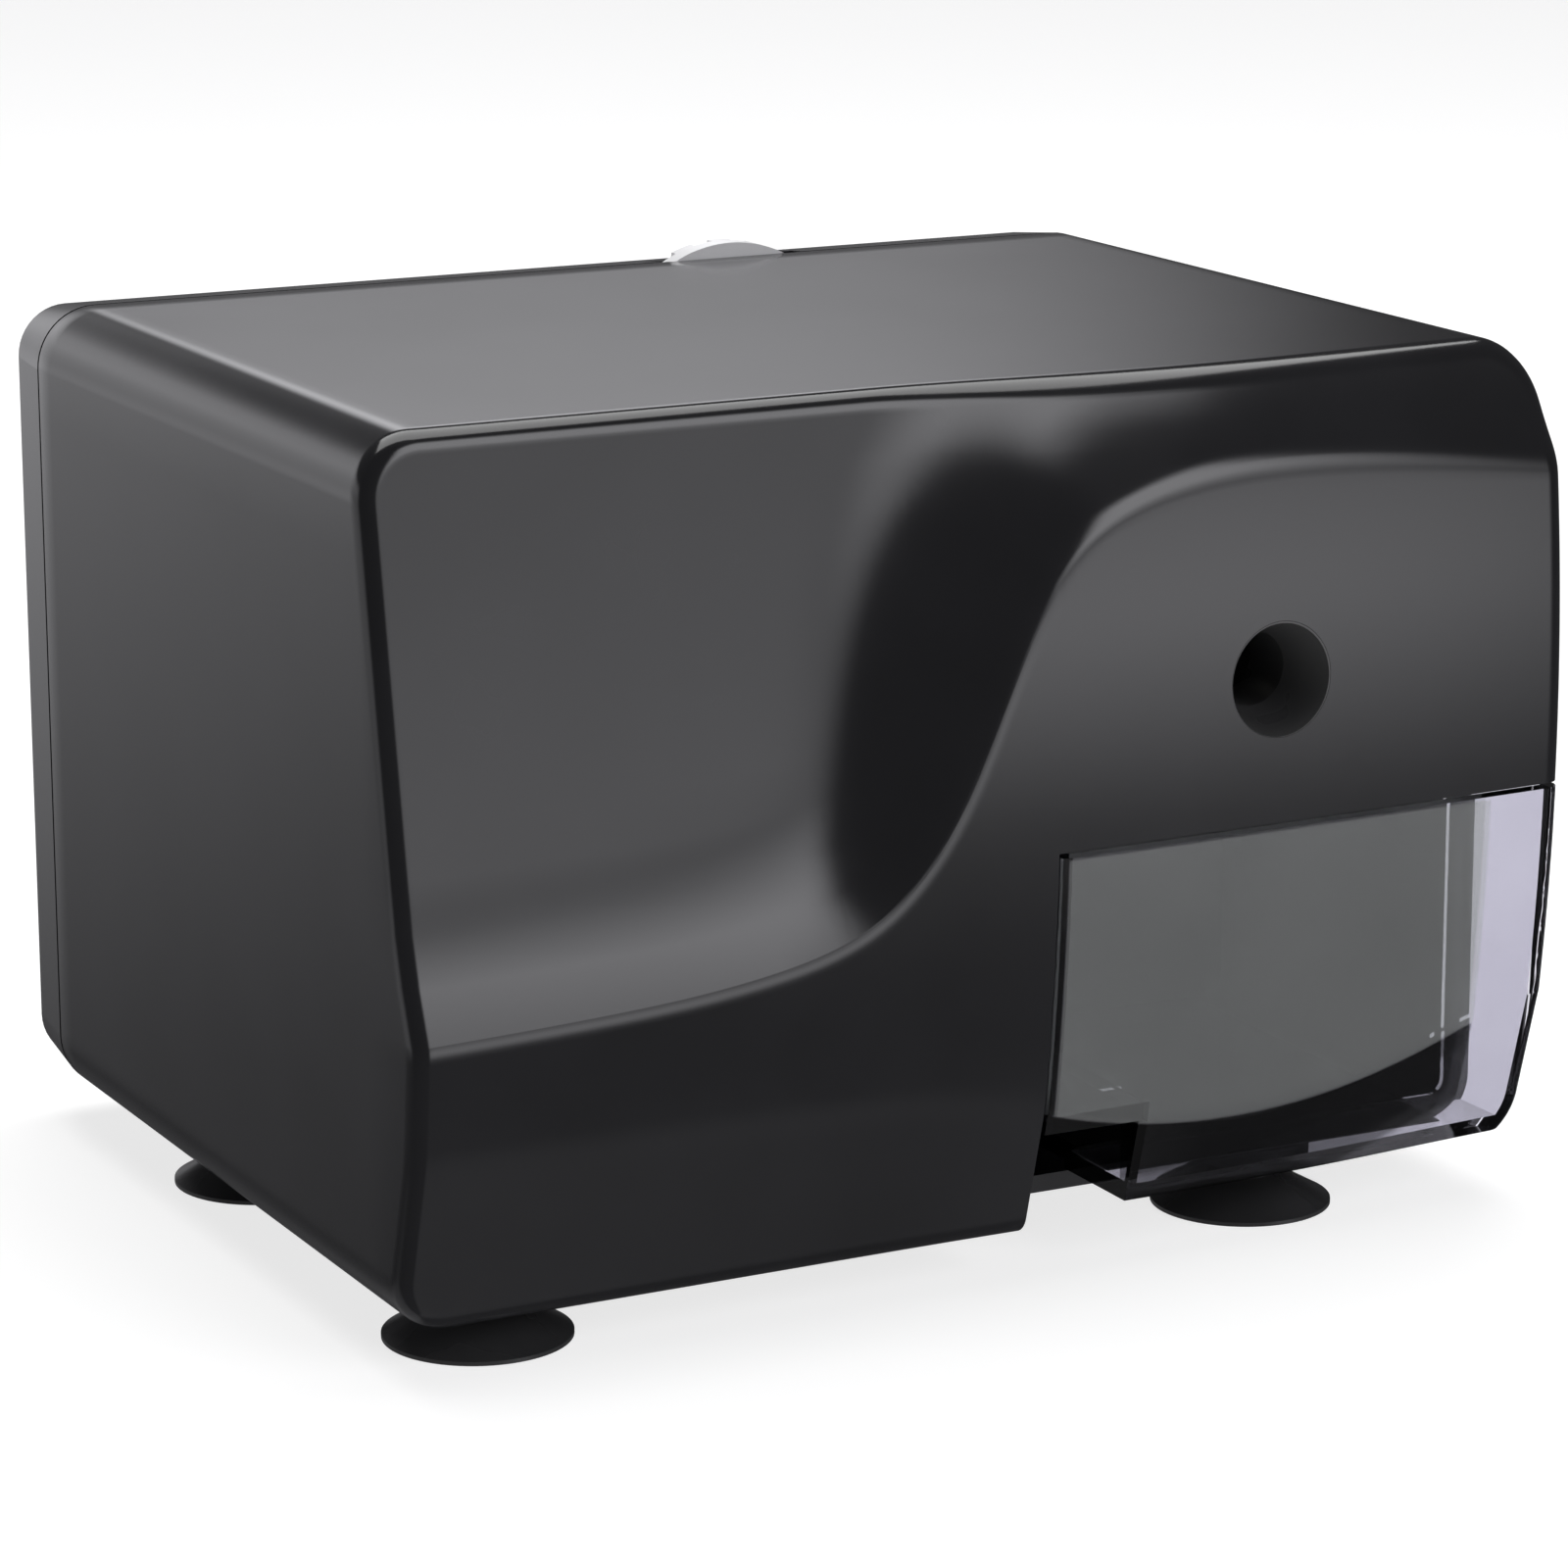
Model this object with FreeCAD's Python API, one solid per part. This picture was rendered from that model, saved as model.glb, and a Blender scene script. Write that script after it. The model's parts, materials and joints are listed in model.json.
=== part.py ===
import FreeCAD, Part
import math
import os

from FreeCAD import Vector

# Electric desktop pencil sharpener with a clear shavings drawer.
# Millimetres. +X right, +Y to the back, +Z up. The origin is the middle of the
# footprint on the surface that the suction feet stand on.

os.makedirs("parts", exist_ok=True)

# ---------------------------------------------------------------- case sizes
width = 140.0
depth = 115.8
body_height = 93.0
foot_height = 5.0
corner_radius = 7.0
wall = 2.4
floor_thickness = 2.0
rim_fillet = 1.9
cover_depth = 10.15
cover_edge_fillet = 0.6
cover_draft = 0.12           # how much the cover narrows per unit towards the back

# ------------------------------------------------- front surfaces of the case
band_lead = 0.6              # how far the band's two crowns would meet ahead of the front
crown_height = 57.0          # height of the band's crown seen from the side
crown_radius = 250.0
plan_crown_x = -65.0         # place of the band's crown seen from above
plan_radius = 2630.0
recess_top_setback = 11.7    # recess behind the front, at the top rim
recess_lean = 0.17           # recess slope, forward per unit down
past_ridge = 4.0             # how far the recess cutter stands clear of the band
valley_radius = 35.0         # soft valley between the recess and the band
undercut_slope = 0.287       # chin slope, back per unit down

line_end = width / 2 + 1.0
# Ridge between the recess and the band, as (x, z) from the left to the right.
ridge_points = [
    (-line_end, 37.7), (-50.0, 38.5), (-29.4, 40.5), (-17.4, 44.5), (-8.8, 53.7),
    (0.6, 72.9), (7.6, 82.2), (19.1, 87.2), (35.3, 88.5), (54.5, 87.1), (line_end, 85.0),
]
# Crease above the chin, which dips across the drawer.
crease_points = [
    (-line_end, 24.3), (-39.5, 24.2), (-19.0, 23.7), (-3.7, 22.3), (13.0, 18.0),
    (28.8, 15.4), (44.2, 17.5), (56.1, 21.7), (line_end, 24.6),
]

# -------------------------------------------------------------- drawer and bay
bay_left = 4.3
bay_top = 49.2
bay_front = -37.7            # front edge of the side wall and floor beside the drawer
bay_depth = 48.9             # from bay_front to the bay's back wall
bay_wall = 1.8
drawer_side_gap = 0.5
drawer_top_gap = 0.6
drawer_floor_gap = 0.3
drawer_back_gap = 1.0
drawer_wall = 1.8
drawer_step = 3.4            # tray side stands this far inside the case side
grip_notch_width = 11.7
grip_notch_height = 9.9
chute_width = 34.0
chute_front = -29.3
chute_back = 9.0

# ------------------------------------------------------------------ pencil axis
axis_x = 32.0
axis_z = 65.0
pencil_bore = 4.15
pocket_wall = 5.0            # from the case front to the pocket behind the funnel
funnel_mouth = 6.2
funnel_depth = 6.3
guide_relief = 5.0           # wider bore behind the pencil lever
guide_outer = 6.3
guide_flange = 9.0
guide_back = -33.0
slide_fit = 0.05             # radial running clearance of shafts

# -------------------------------------------------------------- cutter and cage
cutter_tilt = 10.6           # degrees, half of the pencil's cone
cutter_radius = 4.5
cutter_front = -16.0
cutter_back = 2.5
cutter_flutes = 9
cutter_twist = 95.0
cutter_neck = 2.2
axle_radius = 1.2
ring_module = 0.7
ring_teeth = 38
pinion_teeth = 11
pinion_width = 3.0
pinion_place = -23.5
ring_outer = 15.4
ring_front = -29.2
ring_back = -20.7
cage_radius = 12.6
cage_front = -20.0
cage_disc = 3.0
cage_back = 11.0
cage_web = 2.2
spindle_radius = 5.0
spindle_bore = 1.5
spindle_back = 39.4

# --------------------------------------------------------------- gears and motor
frame_plate_front = 16.0
plate_thickness = 2.0
rear_plate_front = 37.5
drive_module = 1.0
drive_teeth = 40
idler_small_teeth = 12
drive_gear_front = 20.0
drive_gear_width = 6.0
motor_module = 0.8
idler_large_teeth = 50
motor_pinion_teeth = 10
reduction_gear_front = 28.0
reduction_gear_width = 5.0
idler_shaft_radius = 1.6
gear_backlash = 0.2
motor_radius = 17.9
motor_length = 50.5
motor_can_wall = 1.2
motor_shaft_radius = 1.58
motor_boss_radius = 6.5
bush_wall = 2.0

# ------------------------------------------------------------ point-shape dial
dial_radius = 16.0
dial_gear_room = 0.95        # under the case top
dial_thickness = 3.6
dial_gap = 0.3
dial_slot_gap = 1.15
dial_gear_teeth = 20
stop_gear_teeth = 26
dial_gear_front = 42.6
dial_gear_width = 3.0
dial_neck = 5.0
dial_axle_radius = 1.5
stop_rod_radius = 1.0
stop_screw_radius = 2.5
stop_tail_side = 3.5
stop_tip = 4.0
stop_travel = 1.2

# --------------------------------------------------------------- small hardware
screw_radius = 1.5
screw_head = 2.8
screw_head_height = 1.8
foot_radius = 10.2
foot_stem = 2.5
foot_neck = 4.2
board_thickness = 1.6
wire_radius = 0.7
jack_bore = 3.0
jack_pin = 1.05
jack_from_side = 25.0
jack_z = 22.0
sense_y = -44.0
sense_z = 76.0
sense_pin_radius = 1.2
cheek = 1.5
cheek_gap = 3.5
sense_switch_bottom = 79.9
button_y = -40.0
bin_switch_x = 20.0
bin_switch_z = 30.0

# ------------------------------------------------------------- worked-out places
half = width / 2
front = -depth / 2
back = depth / 2
jack_x = jack_from_side - half
seam = back - cover_depth
pocket_front = front + pocket_wall
base_front = front + 11.9
bottom = foot_height
top = foot_height + body_height
inner_floor = bottom + floor_thickness
inner_half = half - wall
inner_top = top - wall
inner_back = back - wall
bay_back = bay_front + bay_depth
drawer_left = bay_left + drawer_side_gap
drawer_top = bay_top - drawer_top_gap
drawer_bottom = inner_floor + drawer_floor_gap
drawer_back = bay_back - drawer_back_gap
tray_left = drawer_left + drawer_wall
tray_right = half - drawer_step
frame_plate_back = frame_plate_front + plate_thickness
rear_plate_back = rear_plate_front + plate_thickness

idler_distance = drive_module * (drive_teeth + idler_small_teeth) / 2
motor_distance = motor_module * (idler_large_teeth + motor_pinion_teeth) / 2
idler_x = axis_x - idler_distance
motor_x = idler_x - motor_distance
motor_back = frame_plate_front
motor_front = motor_back - motor_length

dial_distance = (dial_gear_teeth + stop_gear_teeth) / 2
dial_z = top - wall - (dial_gear_teeth / 2 + 1) - dial_gear_room
dial_x = axis_x - math.sqrt(dial_distance ** 2 - (dial_z - axis_z) ** 2)
dial_front = seam + dial_gap
dial_back = dial_front + dial_thickness
dial_gear_back = dial_gear_front + dial_gear_width

feet = {
    "front_left": (14.6 - half, front + 18.5),
    "front_right": (40.0, -37.3),
    "back_left": (14.6 - half, 20.9),
    "back_right": (half - 14.6, 20.9),
}
base_screws_at = [(13 - half, -25.0), (13 - half, seam - 9.75), (half - 13, seam - 9.75),
                  (-4.0, front + 15.4)]
cover_screws_at = [(side * (half - 7), z) for z in (18.0, top - 10) for side in (-1, 1)]
standoffs_at = [(-26.0, 46.0), (-26.0, 83.0), (50.0, 46.0), (50.0, 84.0)]
frame_legs_at = [(-24.0, 23.0), (42.0, 23.0)]
motor_screws_at = [(-12.5, 0.0), (12.5, 0.0)]
board_box = (20 - half, 38 - half, -30.0, 16.0)
board_height = 11.0


# ---------------------------------------------------------------- basic solids
def box(x0, x1, y0, y1, z0, z1):
    return Part.makeBox(x1 - x0, y1 - y0, z1 - z0, Vector(x0, y0, z0))


def rod_y(x, z, y0, y1, radius):
    return Part.makeCylinder(radius, y1 - y0, Vector(x, y0, z), Vector(0, 1, 0))


def rod_z(x, y, z0, z1, radius):
    return Part.makeCylinder(radius, z1 - z0, Vector(x, y, z0), Vector(0, 0, 1))


def tube_y(x, z, y0, y1, outer, inner):
    return rod_y(x, z, y0, y1, outer).cut(rod_y(x, z, y0 - 1, y1 + 1, inner))


def cone_y(x, z, y0, y1, r0, r1):
    return Part.makeCone(r0, r1, y1 - y0, Vector(x, y0, z), Vector(0, 1, 0))


def prism_x(points, x0, x1):
    """Extrude a closed (y, z) outline along X."""
    loop = Part.makePolygon([Vector(x0, y, z) for y, z in points + points[:1]])
    return Part.Face(loop).extrude(Vector(x1 - x0, 0, 0))


def prism_y(points, y0, y1):
    """Extrude a closed (x, z) outline along Y."""
    loop = Part.makePolygon([Vector(x, y0, z) for x, z in points + points[:1]])
    return Part.Face(loop).extrude(Vector(0, y1 - y0, 0))


def prism_z(points, z0, z1):
    """Extrude a closed (x, y) outline along Z."""
    loop = Part.makePolygon([Vector(x, y, z0) for x, y in points + points[:1]])
    return Part.Face(loop).extrude(Vector(0, 0, z1 - z0))


def fuse_all(shapes):
    return shapes[0].multiFuse(shapes[1:]).removeSplitter()


def save(name, shape):
    shape.exportStep("parts/" + name + ".step")


# ---------------------------------------------------------------- case outlines
def rounded(body, radius, edges):
    """Round the edges by radius, or by the nearest smaller one that closes."""
    for share in (1.0, 0.97, 0.94, 0.91, 0.88, 0.84, 0.8, 0.75):
        try:
            return body.makeFillet(radius * share, edges)
        except Part.OCCError:
            continue
    raise ValueError("the edges can't be rounded")


def case_prism(inset, y0, y1):
    """Rounded case outline, moved in by inset, from y0 to y1."""
    block = box(-half + inset, half - inset, y0, y1, bottom + inset, top - inset)
    long_edges = [e for e in block.Edges if abs(e.BoundBox.YLength - (y1 - y0)) < 1e-6]
    return block.makeFillet(corner_radius - inset, long_edges)


def band_y(x, z):
    """Front of the band, which is a shallow dome."""
    side_view = (z - crown_height) ** 2 / (2 * crown_radius)
    plan_view = (x - plan_crown_x) ** 2 / (2 * plan_radius)
    return front - band_lead + side_view + plan_view


def recess_y(z):
    return front + recess_top_setback - recess_lean * (top - foot_height - z)


def spline(points):
    curve = Part.BSplineCurve()
    curve.interpolate([Vector(x, 0, z) for x, z in points])
    return curve


def height_on(curve, x):
    """Height of a left-to-right curve at x, by halving its parameter range."""
    low, high = curve.FirstParameter, curve.LastParameter
    for _ in range(40):
        middle = (low + high) / 2
        if curve.value(middle).x < x:
            low = middle
        else:
            high = middle
    return curve.value(low).z


def recess_surface_y(ridge, x, z):
    """Front of the case in the recess: a leaning plane that sweeps up to the ridge."""
    point = Vector(x, 0, z)
    at = ridge.parameter(point)
    nearest = ridge.value(at)
    along = ridge.tangent(at)[0]
    side = along.x * (z - nearest.z) - along.z * (x - nearest.x)
    distance = math.copysign((point - nearest).Length, side)
    step = max(recess_y(nearest.z) - band_y(nearest.x, nearest.z), 0.4)
    reach = math.sqrt(2 * valley_radius * step)
    rise = 0.0
    if distance < 0:
        rise = step + min(-distance * reach / valley_radius, past_ridge)
    elif distance < reach:
        rise = (reach - distance) ** 2 / (2 * valley_radius)
    return recess_y(z) - rise


def height_cutter(surface_y, columns, rows, z_low, z_high):
    """Everything in front of a smooth surface given by its y at each (x, z)."""
    x_span = half + 5
    grid = []
    for i in range(columns + 1):
        x = -x_span + 2 * x_span * i / columns
        heights = [z_low + (z_high - z_low) * j / rows for j in range(rows + 1)]
        grid.append([Vector(x, surface_y(x, z), z) for z in heights])
    surface = Part.BSplineSurface()
    surface.interpolate(grid)
    return surface.toShape().extrude(Vector(0, -depth / 2, 0))


def recess_cutter():
    ridge = spline(ridge_points)
    return height_cutter(lambda x, z: recess_surface_y(ridge, x, z), 50, 40, 22.0, top + 4)


def band_cutter():
    return height_cutter(band_y, 6, 6, -4.0, top + 4)


def chin_cutter():
    crease = spline(crease_points)
    sections = []
    for i in range(25):
        x = -half - 5 + (width + 10) * i / 24
        high = height_on(crease, x)
        start = Vector(x, band_y(x, high) - 3 * undercut_slope, high + 3)
        end = Vector(x, band_y(x, high) + undercut_slope * (high + 3), -3)
        far_low = Vector(x, front - 25, -3)
        far_high = Vector(x, front - 25, high + 3)
        sections.append(Part.makePolygon([start, end, far_low, far_high, start]))
    return Part.makeLoft(sections, True, False)


def is_side_face(face):
    """True on the case's flat sides and rounded long edges, which run along Y."""
    kind = type(face.Surface).__name__
    if kind == "Plane":
        return abs(face.Surface.Axis.y) < 1e-3
    return kind == "Cylinder" and abs(face.Surface.Axis.y) > 0.99


def front_solid():
    """The whole case front as one solid, with its rim rounded."""
    body = case_prism(0, front - 5, seam).cut(band_cutter())
    body = body.cut(recess_cutter()).cut(chin_cutter())
    rim = []
    for edge in body.Edges:
        faces = body.ancestorsOfType(edge, Part.Face)
        if edge.BoundBox.YMax < 0 and len(faces) == 2:
            if is_side_face(faces[0]) != is_side_face(faces[1]):
                rim.append(edge)
    return rounded(body, rim_fillet, rim)


def case_cavity():
    """Room inside the case, one wall behind the recess plane."""
    inner = case_prism(wall, front, seam + 1)
    lowest, crease, ridge = inner_floor, 24.0, 38.0
    outline = [
        (back, inner_floor), (front + 10.2, lowest), (front + 5.6, crease),
        (recess_y(ridge) + wall, ridge), (recess_y(top) + wall, top), (back, top),
    ]
    return inner.common(prism_x(outline, -half, half))


# ------------------------------------------------------------------- case parts
def base_outline(gap):
    """Base plate outline from above; gap shrinks it inside its opening."""
    side = half - corner_radius - gap
    return [
        (-side, base_front + gap), (bay_left - 2, base_front + gap),
        (bay_left - 2, bay_front - 0.5 + gap),
        (side, bay_front - 0.5 + gap), (side, seam - 4 - gap), (-side, seam - 4 - gap),
    ]


def housing_posts():
    """Screw posts that stand on the side walls and behind the chin."""
    posts = []
    for x, z in cover_screws_at:
        outer = math.copysign(half - 1, x)
        inner = x - math.copysign(4.0, x)
        posts.append(box(min(outer, inner), max(outer, inner), seam - 16, seam, z - 4, z + 4))
    for x, y in base_screws_at[:3]:
        outer = math.copysign(half - 1, x)
        inner = x - math.copysign(4.0, x)
        low_x, high_x = min(outer, inner), max(outer, inner)
        posts.append(box(low_x, high_x, y - 4, y + 4, inner_floor, inner_floor + 12))
    x, y = base_screws_at[3]
    posts.append(box(x - 4, x + 4, front, y + 4, inner_floor, inner_floor + 12))
    return fuse_all(posts)


def main_housing(shell):
    cavity = case_cavity().fuse(box(axis_x - 18, inner_half, pocket_front, -40, bay_top, 80))
    body = shell.cut(cavity)
    body = body.cut(prism_z(base_outline(0), bottom - 1, bottom + wall + 1))
    body = body.fuse(housing_posts().common(shell))
    body = body.cut(box(bay_left, half + 1, front - 5, bay_front, 0, bay_top))
    body = body.cut(rod_y(axis_x, axis_z, front - 5, -45, guide_outer + slide_fit))
    for x, z in cover_screws_at:
        body = body.cut(rod_y(x, z, seam - 15, seam + 1, screw_radius))
    for x, y in base_screws_at:
        body = body.cut(rod_z(x, y, 0, inner_floor + 10, screw_radius))
    return body


def bin_bay():
    """Moulded tunnel that the drawer slides in, with the shavings chute above."""
    outer = box(bay_left - bay_wall, inner_half, front, bay_back + bay_wall,
                inner_floor, bay_top + bay_wall)
    inner = box(bay_left, half, front - 1, bay_back, 0, bay_top)
    chute = box(axis_x - chute_width / 2, axis_x + chute_width / 2, chute_front, chute_back,
                bay_top - 1, bay_top + bay_wall + 1)
    tunnel = outer.common(case_cavity()).cut(inner).cut(chute)
    return tunnel.cut(rod_y(bin_switch_x, bin_switch_z, bay_back - 1, bay_back + 5, 1.5))


def base_plate():
    plate = prism_z(base_outline(slide_fit), bottom, inner_floor)
    x, y = feet["front_right"]
    plate = plate.fuse(rod_z(x, y, bottom, inner_floor, foot_neck + 3))
    posts = []
    x0, x1, y0, y1 = board_box
    for px in (x0 + 3, x1 - 3):
        for py in (y0 + 3, y1 - 3):
            posts.append(rod_z(px, py, inner_floor, board_height, 2.5))
    plate = fuse_all([plate] + posts)
    for fx, fy in feet.values():
        plate = plate.cut(rod_z(fx, fy, 0, top, foot_stem + slide_fit))
    for sx, sy in base_screws_at:
        plate = plate.cut(rod_z(sx, sy, 0, top, screw_radius))
        plate = plate.cut(rod_z(sx, sy, 0, bottom + 1.0, screw_head + slide_fit))
    for sx, sy in frame_legs_at:
        plate = plate.cut(rod_z(sx, sy, 0, top, screw_radius))
        plate = plate.cut(rod_z(sx, sy, 0, bottom + 1.0, screw_head + slide_fit))
    return plate


def drafted_prism(inset, y1):
    """Case outline, moved in by inset, that narrows from the seam to y1."""
    rings = []
    for y in (seam, y1):
        slab = case_prism(inset + (y - seam) * cover_draft, y, y + 1)
        rings += [face.OuterWire for face in slab.Faces if face.BoundBox.YMax < y + 1e-6]
    return Part.makeLoft(rings, True, True)


def back_cover():
    body = drafted_prism(0, back)
    rear = [e for e in body.Edges if e.BoundBox.YMin > back - 1e-3]
    body = rounded(body, cover_edge_fillet, rear)
    body = body.cut(drafted_prism(wall, inner_back))
    bosses = [rod_y(x, z, seam, inner_back + 1, 4.2) for x, z in cover_screws_at]
    bosses.append(rod_y(dial_x, dial_z, dial_back + 0.5, inner_back + 1, 4.0))
    bosses.append(rod_y(axis_x, axis_z, seam, inner_back + 1, 6.0))
    body = fuse_all([body] + bosses)
    for x, z in cover_screws_at:
        body = body.cut(rod_y(x, z, seam - 1, back + 1, screw_radius))
        body = body.cut(rod_y(x, z, back - 4, back + 1, screw_head + 0.2))
    slot = rod_y(dial_x, dial_z, seam - 1, dial_back + dial_gap, dial_radius + dial_slot_gap)
    body = body.cut(slot.common(box(-half, half, seam - 1, back, dial_z + 8, top + 5)))
    body = body.cut(rod_y(dial_x, dial_z, seam, inner_back + 0.8, dial_axle_radius))
    side = stop_tail_side / 2 + slide_fit
    body = body.cut(box(axis_x - side, axis_x + side, seam - 1, inner_back,
                        axis_z - side, axis_z + side))
    body = body.cut(rod_y(jack_x, jack_z, inner_back - 1, back + 1, jack_bore + 1.2))
    return body


def suction_foot(x, y):
    """Revolved rubber cup with a stem that snaps through the base plate."""
    outline = [
        (0, 1.6), (4.0, 1.5), (foot_radius - 1.2, 0.0), (foot_radius, 0.0), (foot_radius, 0.45),
        (foot_neck + 1.6, 2.9), (foot_neck, 3.7), (foot_neck, bottom), (foot_stem, bottom),
        (foot_stem, inner_floor + slide_fit), (foot_stem + 0.7, inner_floor + slide_fit),
        (foot_stem + 0.3, drawer_bottom - 0.02), (0, drawer_bottom - 0.02),
    ]
    wire = Part.makePolygon([Vector(x + r, y, z) for r, z in outline + outline[:1]])
    return Part.Face(wire).revolve(Vector(x, y, 0), Vector(0, 0, 1), 360)


# ----------------------------------------------------------------------- drawer
def shavings_bin(shell):
    cap_back = bay_front - 0.4
    cap_box = box(drawer_left, half + 1, front - 5, cap_back, drawer_bottom, drawer_top)
    tray = box(tray_left, tray_right, cap_back, drawer_back, drawer_bottom, drawer_top)
    tray = tray.common(case_prism(drawer_step, cap_back - 1, drawer_back + 1))
    outer = shell.common(cap_box).fuse(tray)
    inset = case_prism(drawer_wall, front - 5, seam)
    lifted = drawer_bottom + drawer_wall
    cap_room = shell.translated(Vector(0, drawer_wall, 0)).common(inset)
    cap_room = cap_room.common(box(drawer_left + drawer_wall, half, front, cap_back - drawer_wall,
                                   lifted, top))
    tray_room = box(tray_left + drawer_wall, tray_right - drawer_wall, cap_back - 6,
                    drawer_back - drawer_wall, lifted, top)
    tray_room = tray_room.common(case_prism(drawer_step + drawer_wall, front, seam))
    notch_right = drawer_left + grip_notch_width
    notch_top = drawer_bottom + grip_notch_height
    room = cap_room.fuse(tray_room)
    room = room.cut(box(0, notch_right + drawer_wall, front - 5, back, 0,
                        notch_top + drawer_wall))
    outer = outer.cut(box(0, notch_right, front - 5, back, 0, notch_top))
    return outer.cut(room)


# ------------------------------------------------------------------------ gears
def involute(angle):
    return math.tan(angle) - angle


def gear_outline(module, teeth, addendum, dedendum, thinning, phase):
    """Closed list of (x, z) points; a tooth points along the phase angle."""
    pressure = math.radians(20)
    pitch = module * teeth / 2
    base = pitch * math.cos(pressure)
    tip, root = pitch + addendum, pitch - dedendum
    half_tooth = math.pi / (2 * teeth) - thinning / (2 * pitch)
    stations = [max(root, base), pitch, (pitch + tip) / 2, tip]
    flank = []
    for radius in stations:
        turn = half_tooth + involute(pressure) - involute(math.acos(base / radius))
        flank.append((radius, turn))
    if root < base:
        flank.insert(0, (root, flank[0][1]))
    points = []
    for tooth in range(teeth):
        middle = phase + 2 * math.pi * tooth / teeth
        sides = [(r, middle - turn) for r, turn in flank]
        sides += [(r, middle + turn) for r, turn in reversed(flank)]
        points += [(r * math.cos(a), r * math.sin(a)) for r, a in sides]
    return points


def gear(module, teeth, x, z, y0, y1, phase=0.0, bore=0.0):
    outline = gear_outline(module, teeth, module, 1.25 * module, gear_backlash / 2, phase)
    body = prism_y([(x + px, z + pz) for px, pz in outline], y0, y1)
    return body.cut(rod_y(x, z, y0 - 1, y1 + 1, bore)) if bore else body


def half_tooth_angle(teeth):
    return math.pi / teeth


# ----------------------------------------------------------- cutter and its cage
def tilted(shape):
    """Turn a shape built along Y, about the axis height, onto the cutter's line."""
    centre = Vector(axis_x, pinion_place, axis_z + cutter_offset)
    return shape.rotate(centre, Vector(1, 0, 0), -cutter_tilt)


cutter_offset = ring_module * (ring_teeth - pinion_teeth) / 2
cutter_z = axis_z + cutter_offset
cutter_slope = math.cos(math.radians(cutter_tilt))


def along_cutter(y):
    """Place on the untilted cutter line that lands at y once tilted."""
    return pinion_place + (y - pinion_place) / cutter_slope


def helical_cutter():
    """Fluted cutter: a saw-toothed section twisted along its length."""
    y0, y1 = along_cutter(cutter_front), along_cutter(cutter_back)
    sections = []
    steps = 6
    for step in range(steps + 1):
        turn = math.radians(cutter_twist) * step / steps
        y = y0 + (y1 - y0) * step / steps
        points = []
        for flute in range(cutter_flutes):
            start = turn + 2 * math.pi * flute / cutter_flutes
            for share, radius in ((0.0, 0.8), (0.12, 1.0), (0.3, 1.0), (0.75, 0.84)):
                angle = start + share * 2 * math.pi / cutter_flutes
                reach = cutter_radius * radius
                points.append(Vector(axis_x + reach * math.cos(angle), y,
                                     cutter_z + reach * math.sin(angle)))
        sections.append(Part.makePolygon(points + points[:1]))
    body = Part.makeLoft(sections, True, True)
    neck = rod_y(axis_x, cutter_z, pinion_place + pinion_width / 2, y0, cutter_neck)
    body = fuse_all([body, neck])
    bore = rod_y(axis_x, cutter_z, -60, 40, axle_radius + slide_fit)
    return tilted(body.cut(bore))


def cutter_pinion():
    outline = gear_outline(ring_module, pinion_teeth, 0.5 * ring_module, 1.1 * ring_module,
                           0.24, math.pi / 2)
    y0, y1 = pinion_place - pinion_width / 2, pinion_place + pinion_width / 2
    body = prism_y([(axis_x + x, cutter_z + z) for x, z in outline], y0, y1)
    return tilted(body.cut(rod_y(axis_x, cutter_z, y0 - 1, y1 + 1, axle_radius + slide_fit)))


def cutter_axle():
    y0 = pinion_place - pinion_width / 2 - 0.8
    return tilted(rod_y(axis_x, cutter_z, y0, along_cutter(cage_back - 0.6), axle_radius))


def ring_gear():
    outline = gear_outline(ring_module, ring_teeth, 1.7 * ring_module, 0.5 * ring_module,
                           -0.24, math.pi / 2 + half_tooth_angle(ring_teeth) * (ring_teeth % 2))
    teeth_front = ring_front + 2.7
    cup = rod_y(axis_x, axis_z, ring_front, ring_back, ring_outer)
    cup = cup.cut(prism_y([(axis_x + x, axis_z + z) for x, z in outline],
                          teeth_front, ring_back + 1))
    flange = box(axis_x - 20, axis_x + 20, ring_front - 2, ring_front, bay_top + bay_wall, 84)
    return cup.fuse(flange).cut(rod_y(axis_x, axis_z, -60, teeth_front + 0.1, 6.0))


def cutter_carrier():
    """Cage that swings the cutter round the pencil, on a hollow rear spindle."""
    front_disc = rod_y(axis_x, axis_z, cage_front, cage_front + cage_disc, cage_radius)
    back_disc = rod_y(axis_x, axis_z, cage_back - cage_disc, cage_back, cage_radius)
    ring = tube_y(axis_x, axis_z, cage_front + cage_disc, cage_back - cage_disc,
                  cage_radius, cage_radius - cage_web)
    webs = []
    for side in (-1, 1):
        wedge = [(0, -9), (side * 20, -9), (side * 20, 2), (0, 0)]
        webs.append(ring.common(prism_y([(axis_x + x, axis_z + z) for x, z in wedge],
                                        cage_front, cage_back)))
    spindle = rod_y(axis_x, axis_z, cage_back, spindle_back, spindle_radius)
    cage = fuse_all([front_disc, back_disc, spindle] + webs)
    cage = cage.cut(rod_y(axis_x, axis_z, cage_front - 1, cage_front + cage_disc + 1,
                          pencil_bore + 0.25))
    cage = cage.cut(rod_y(axis_x, axis_z, 0, spindle_back + 1, spindle_bore))
    neck_hole = tilted(rod_y(axis_x, cutter_z, -40, -8, cutter_neck + slide_fit))
    axle_hole = tilted(rod_y(axis_x, cutter_z, -8, along_cutter(cage_back - 0.6), axle_radius))
    return cage.cut(neck_hole).cut(axle_hole)


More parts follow.
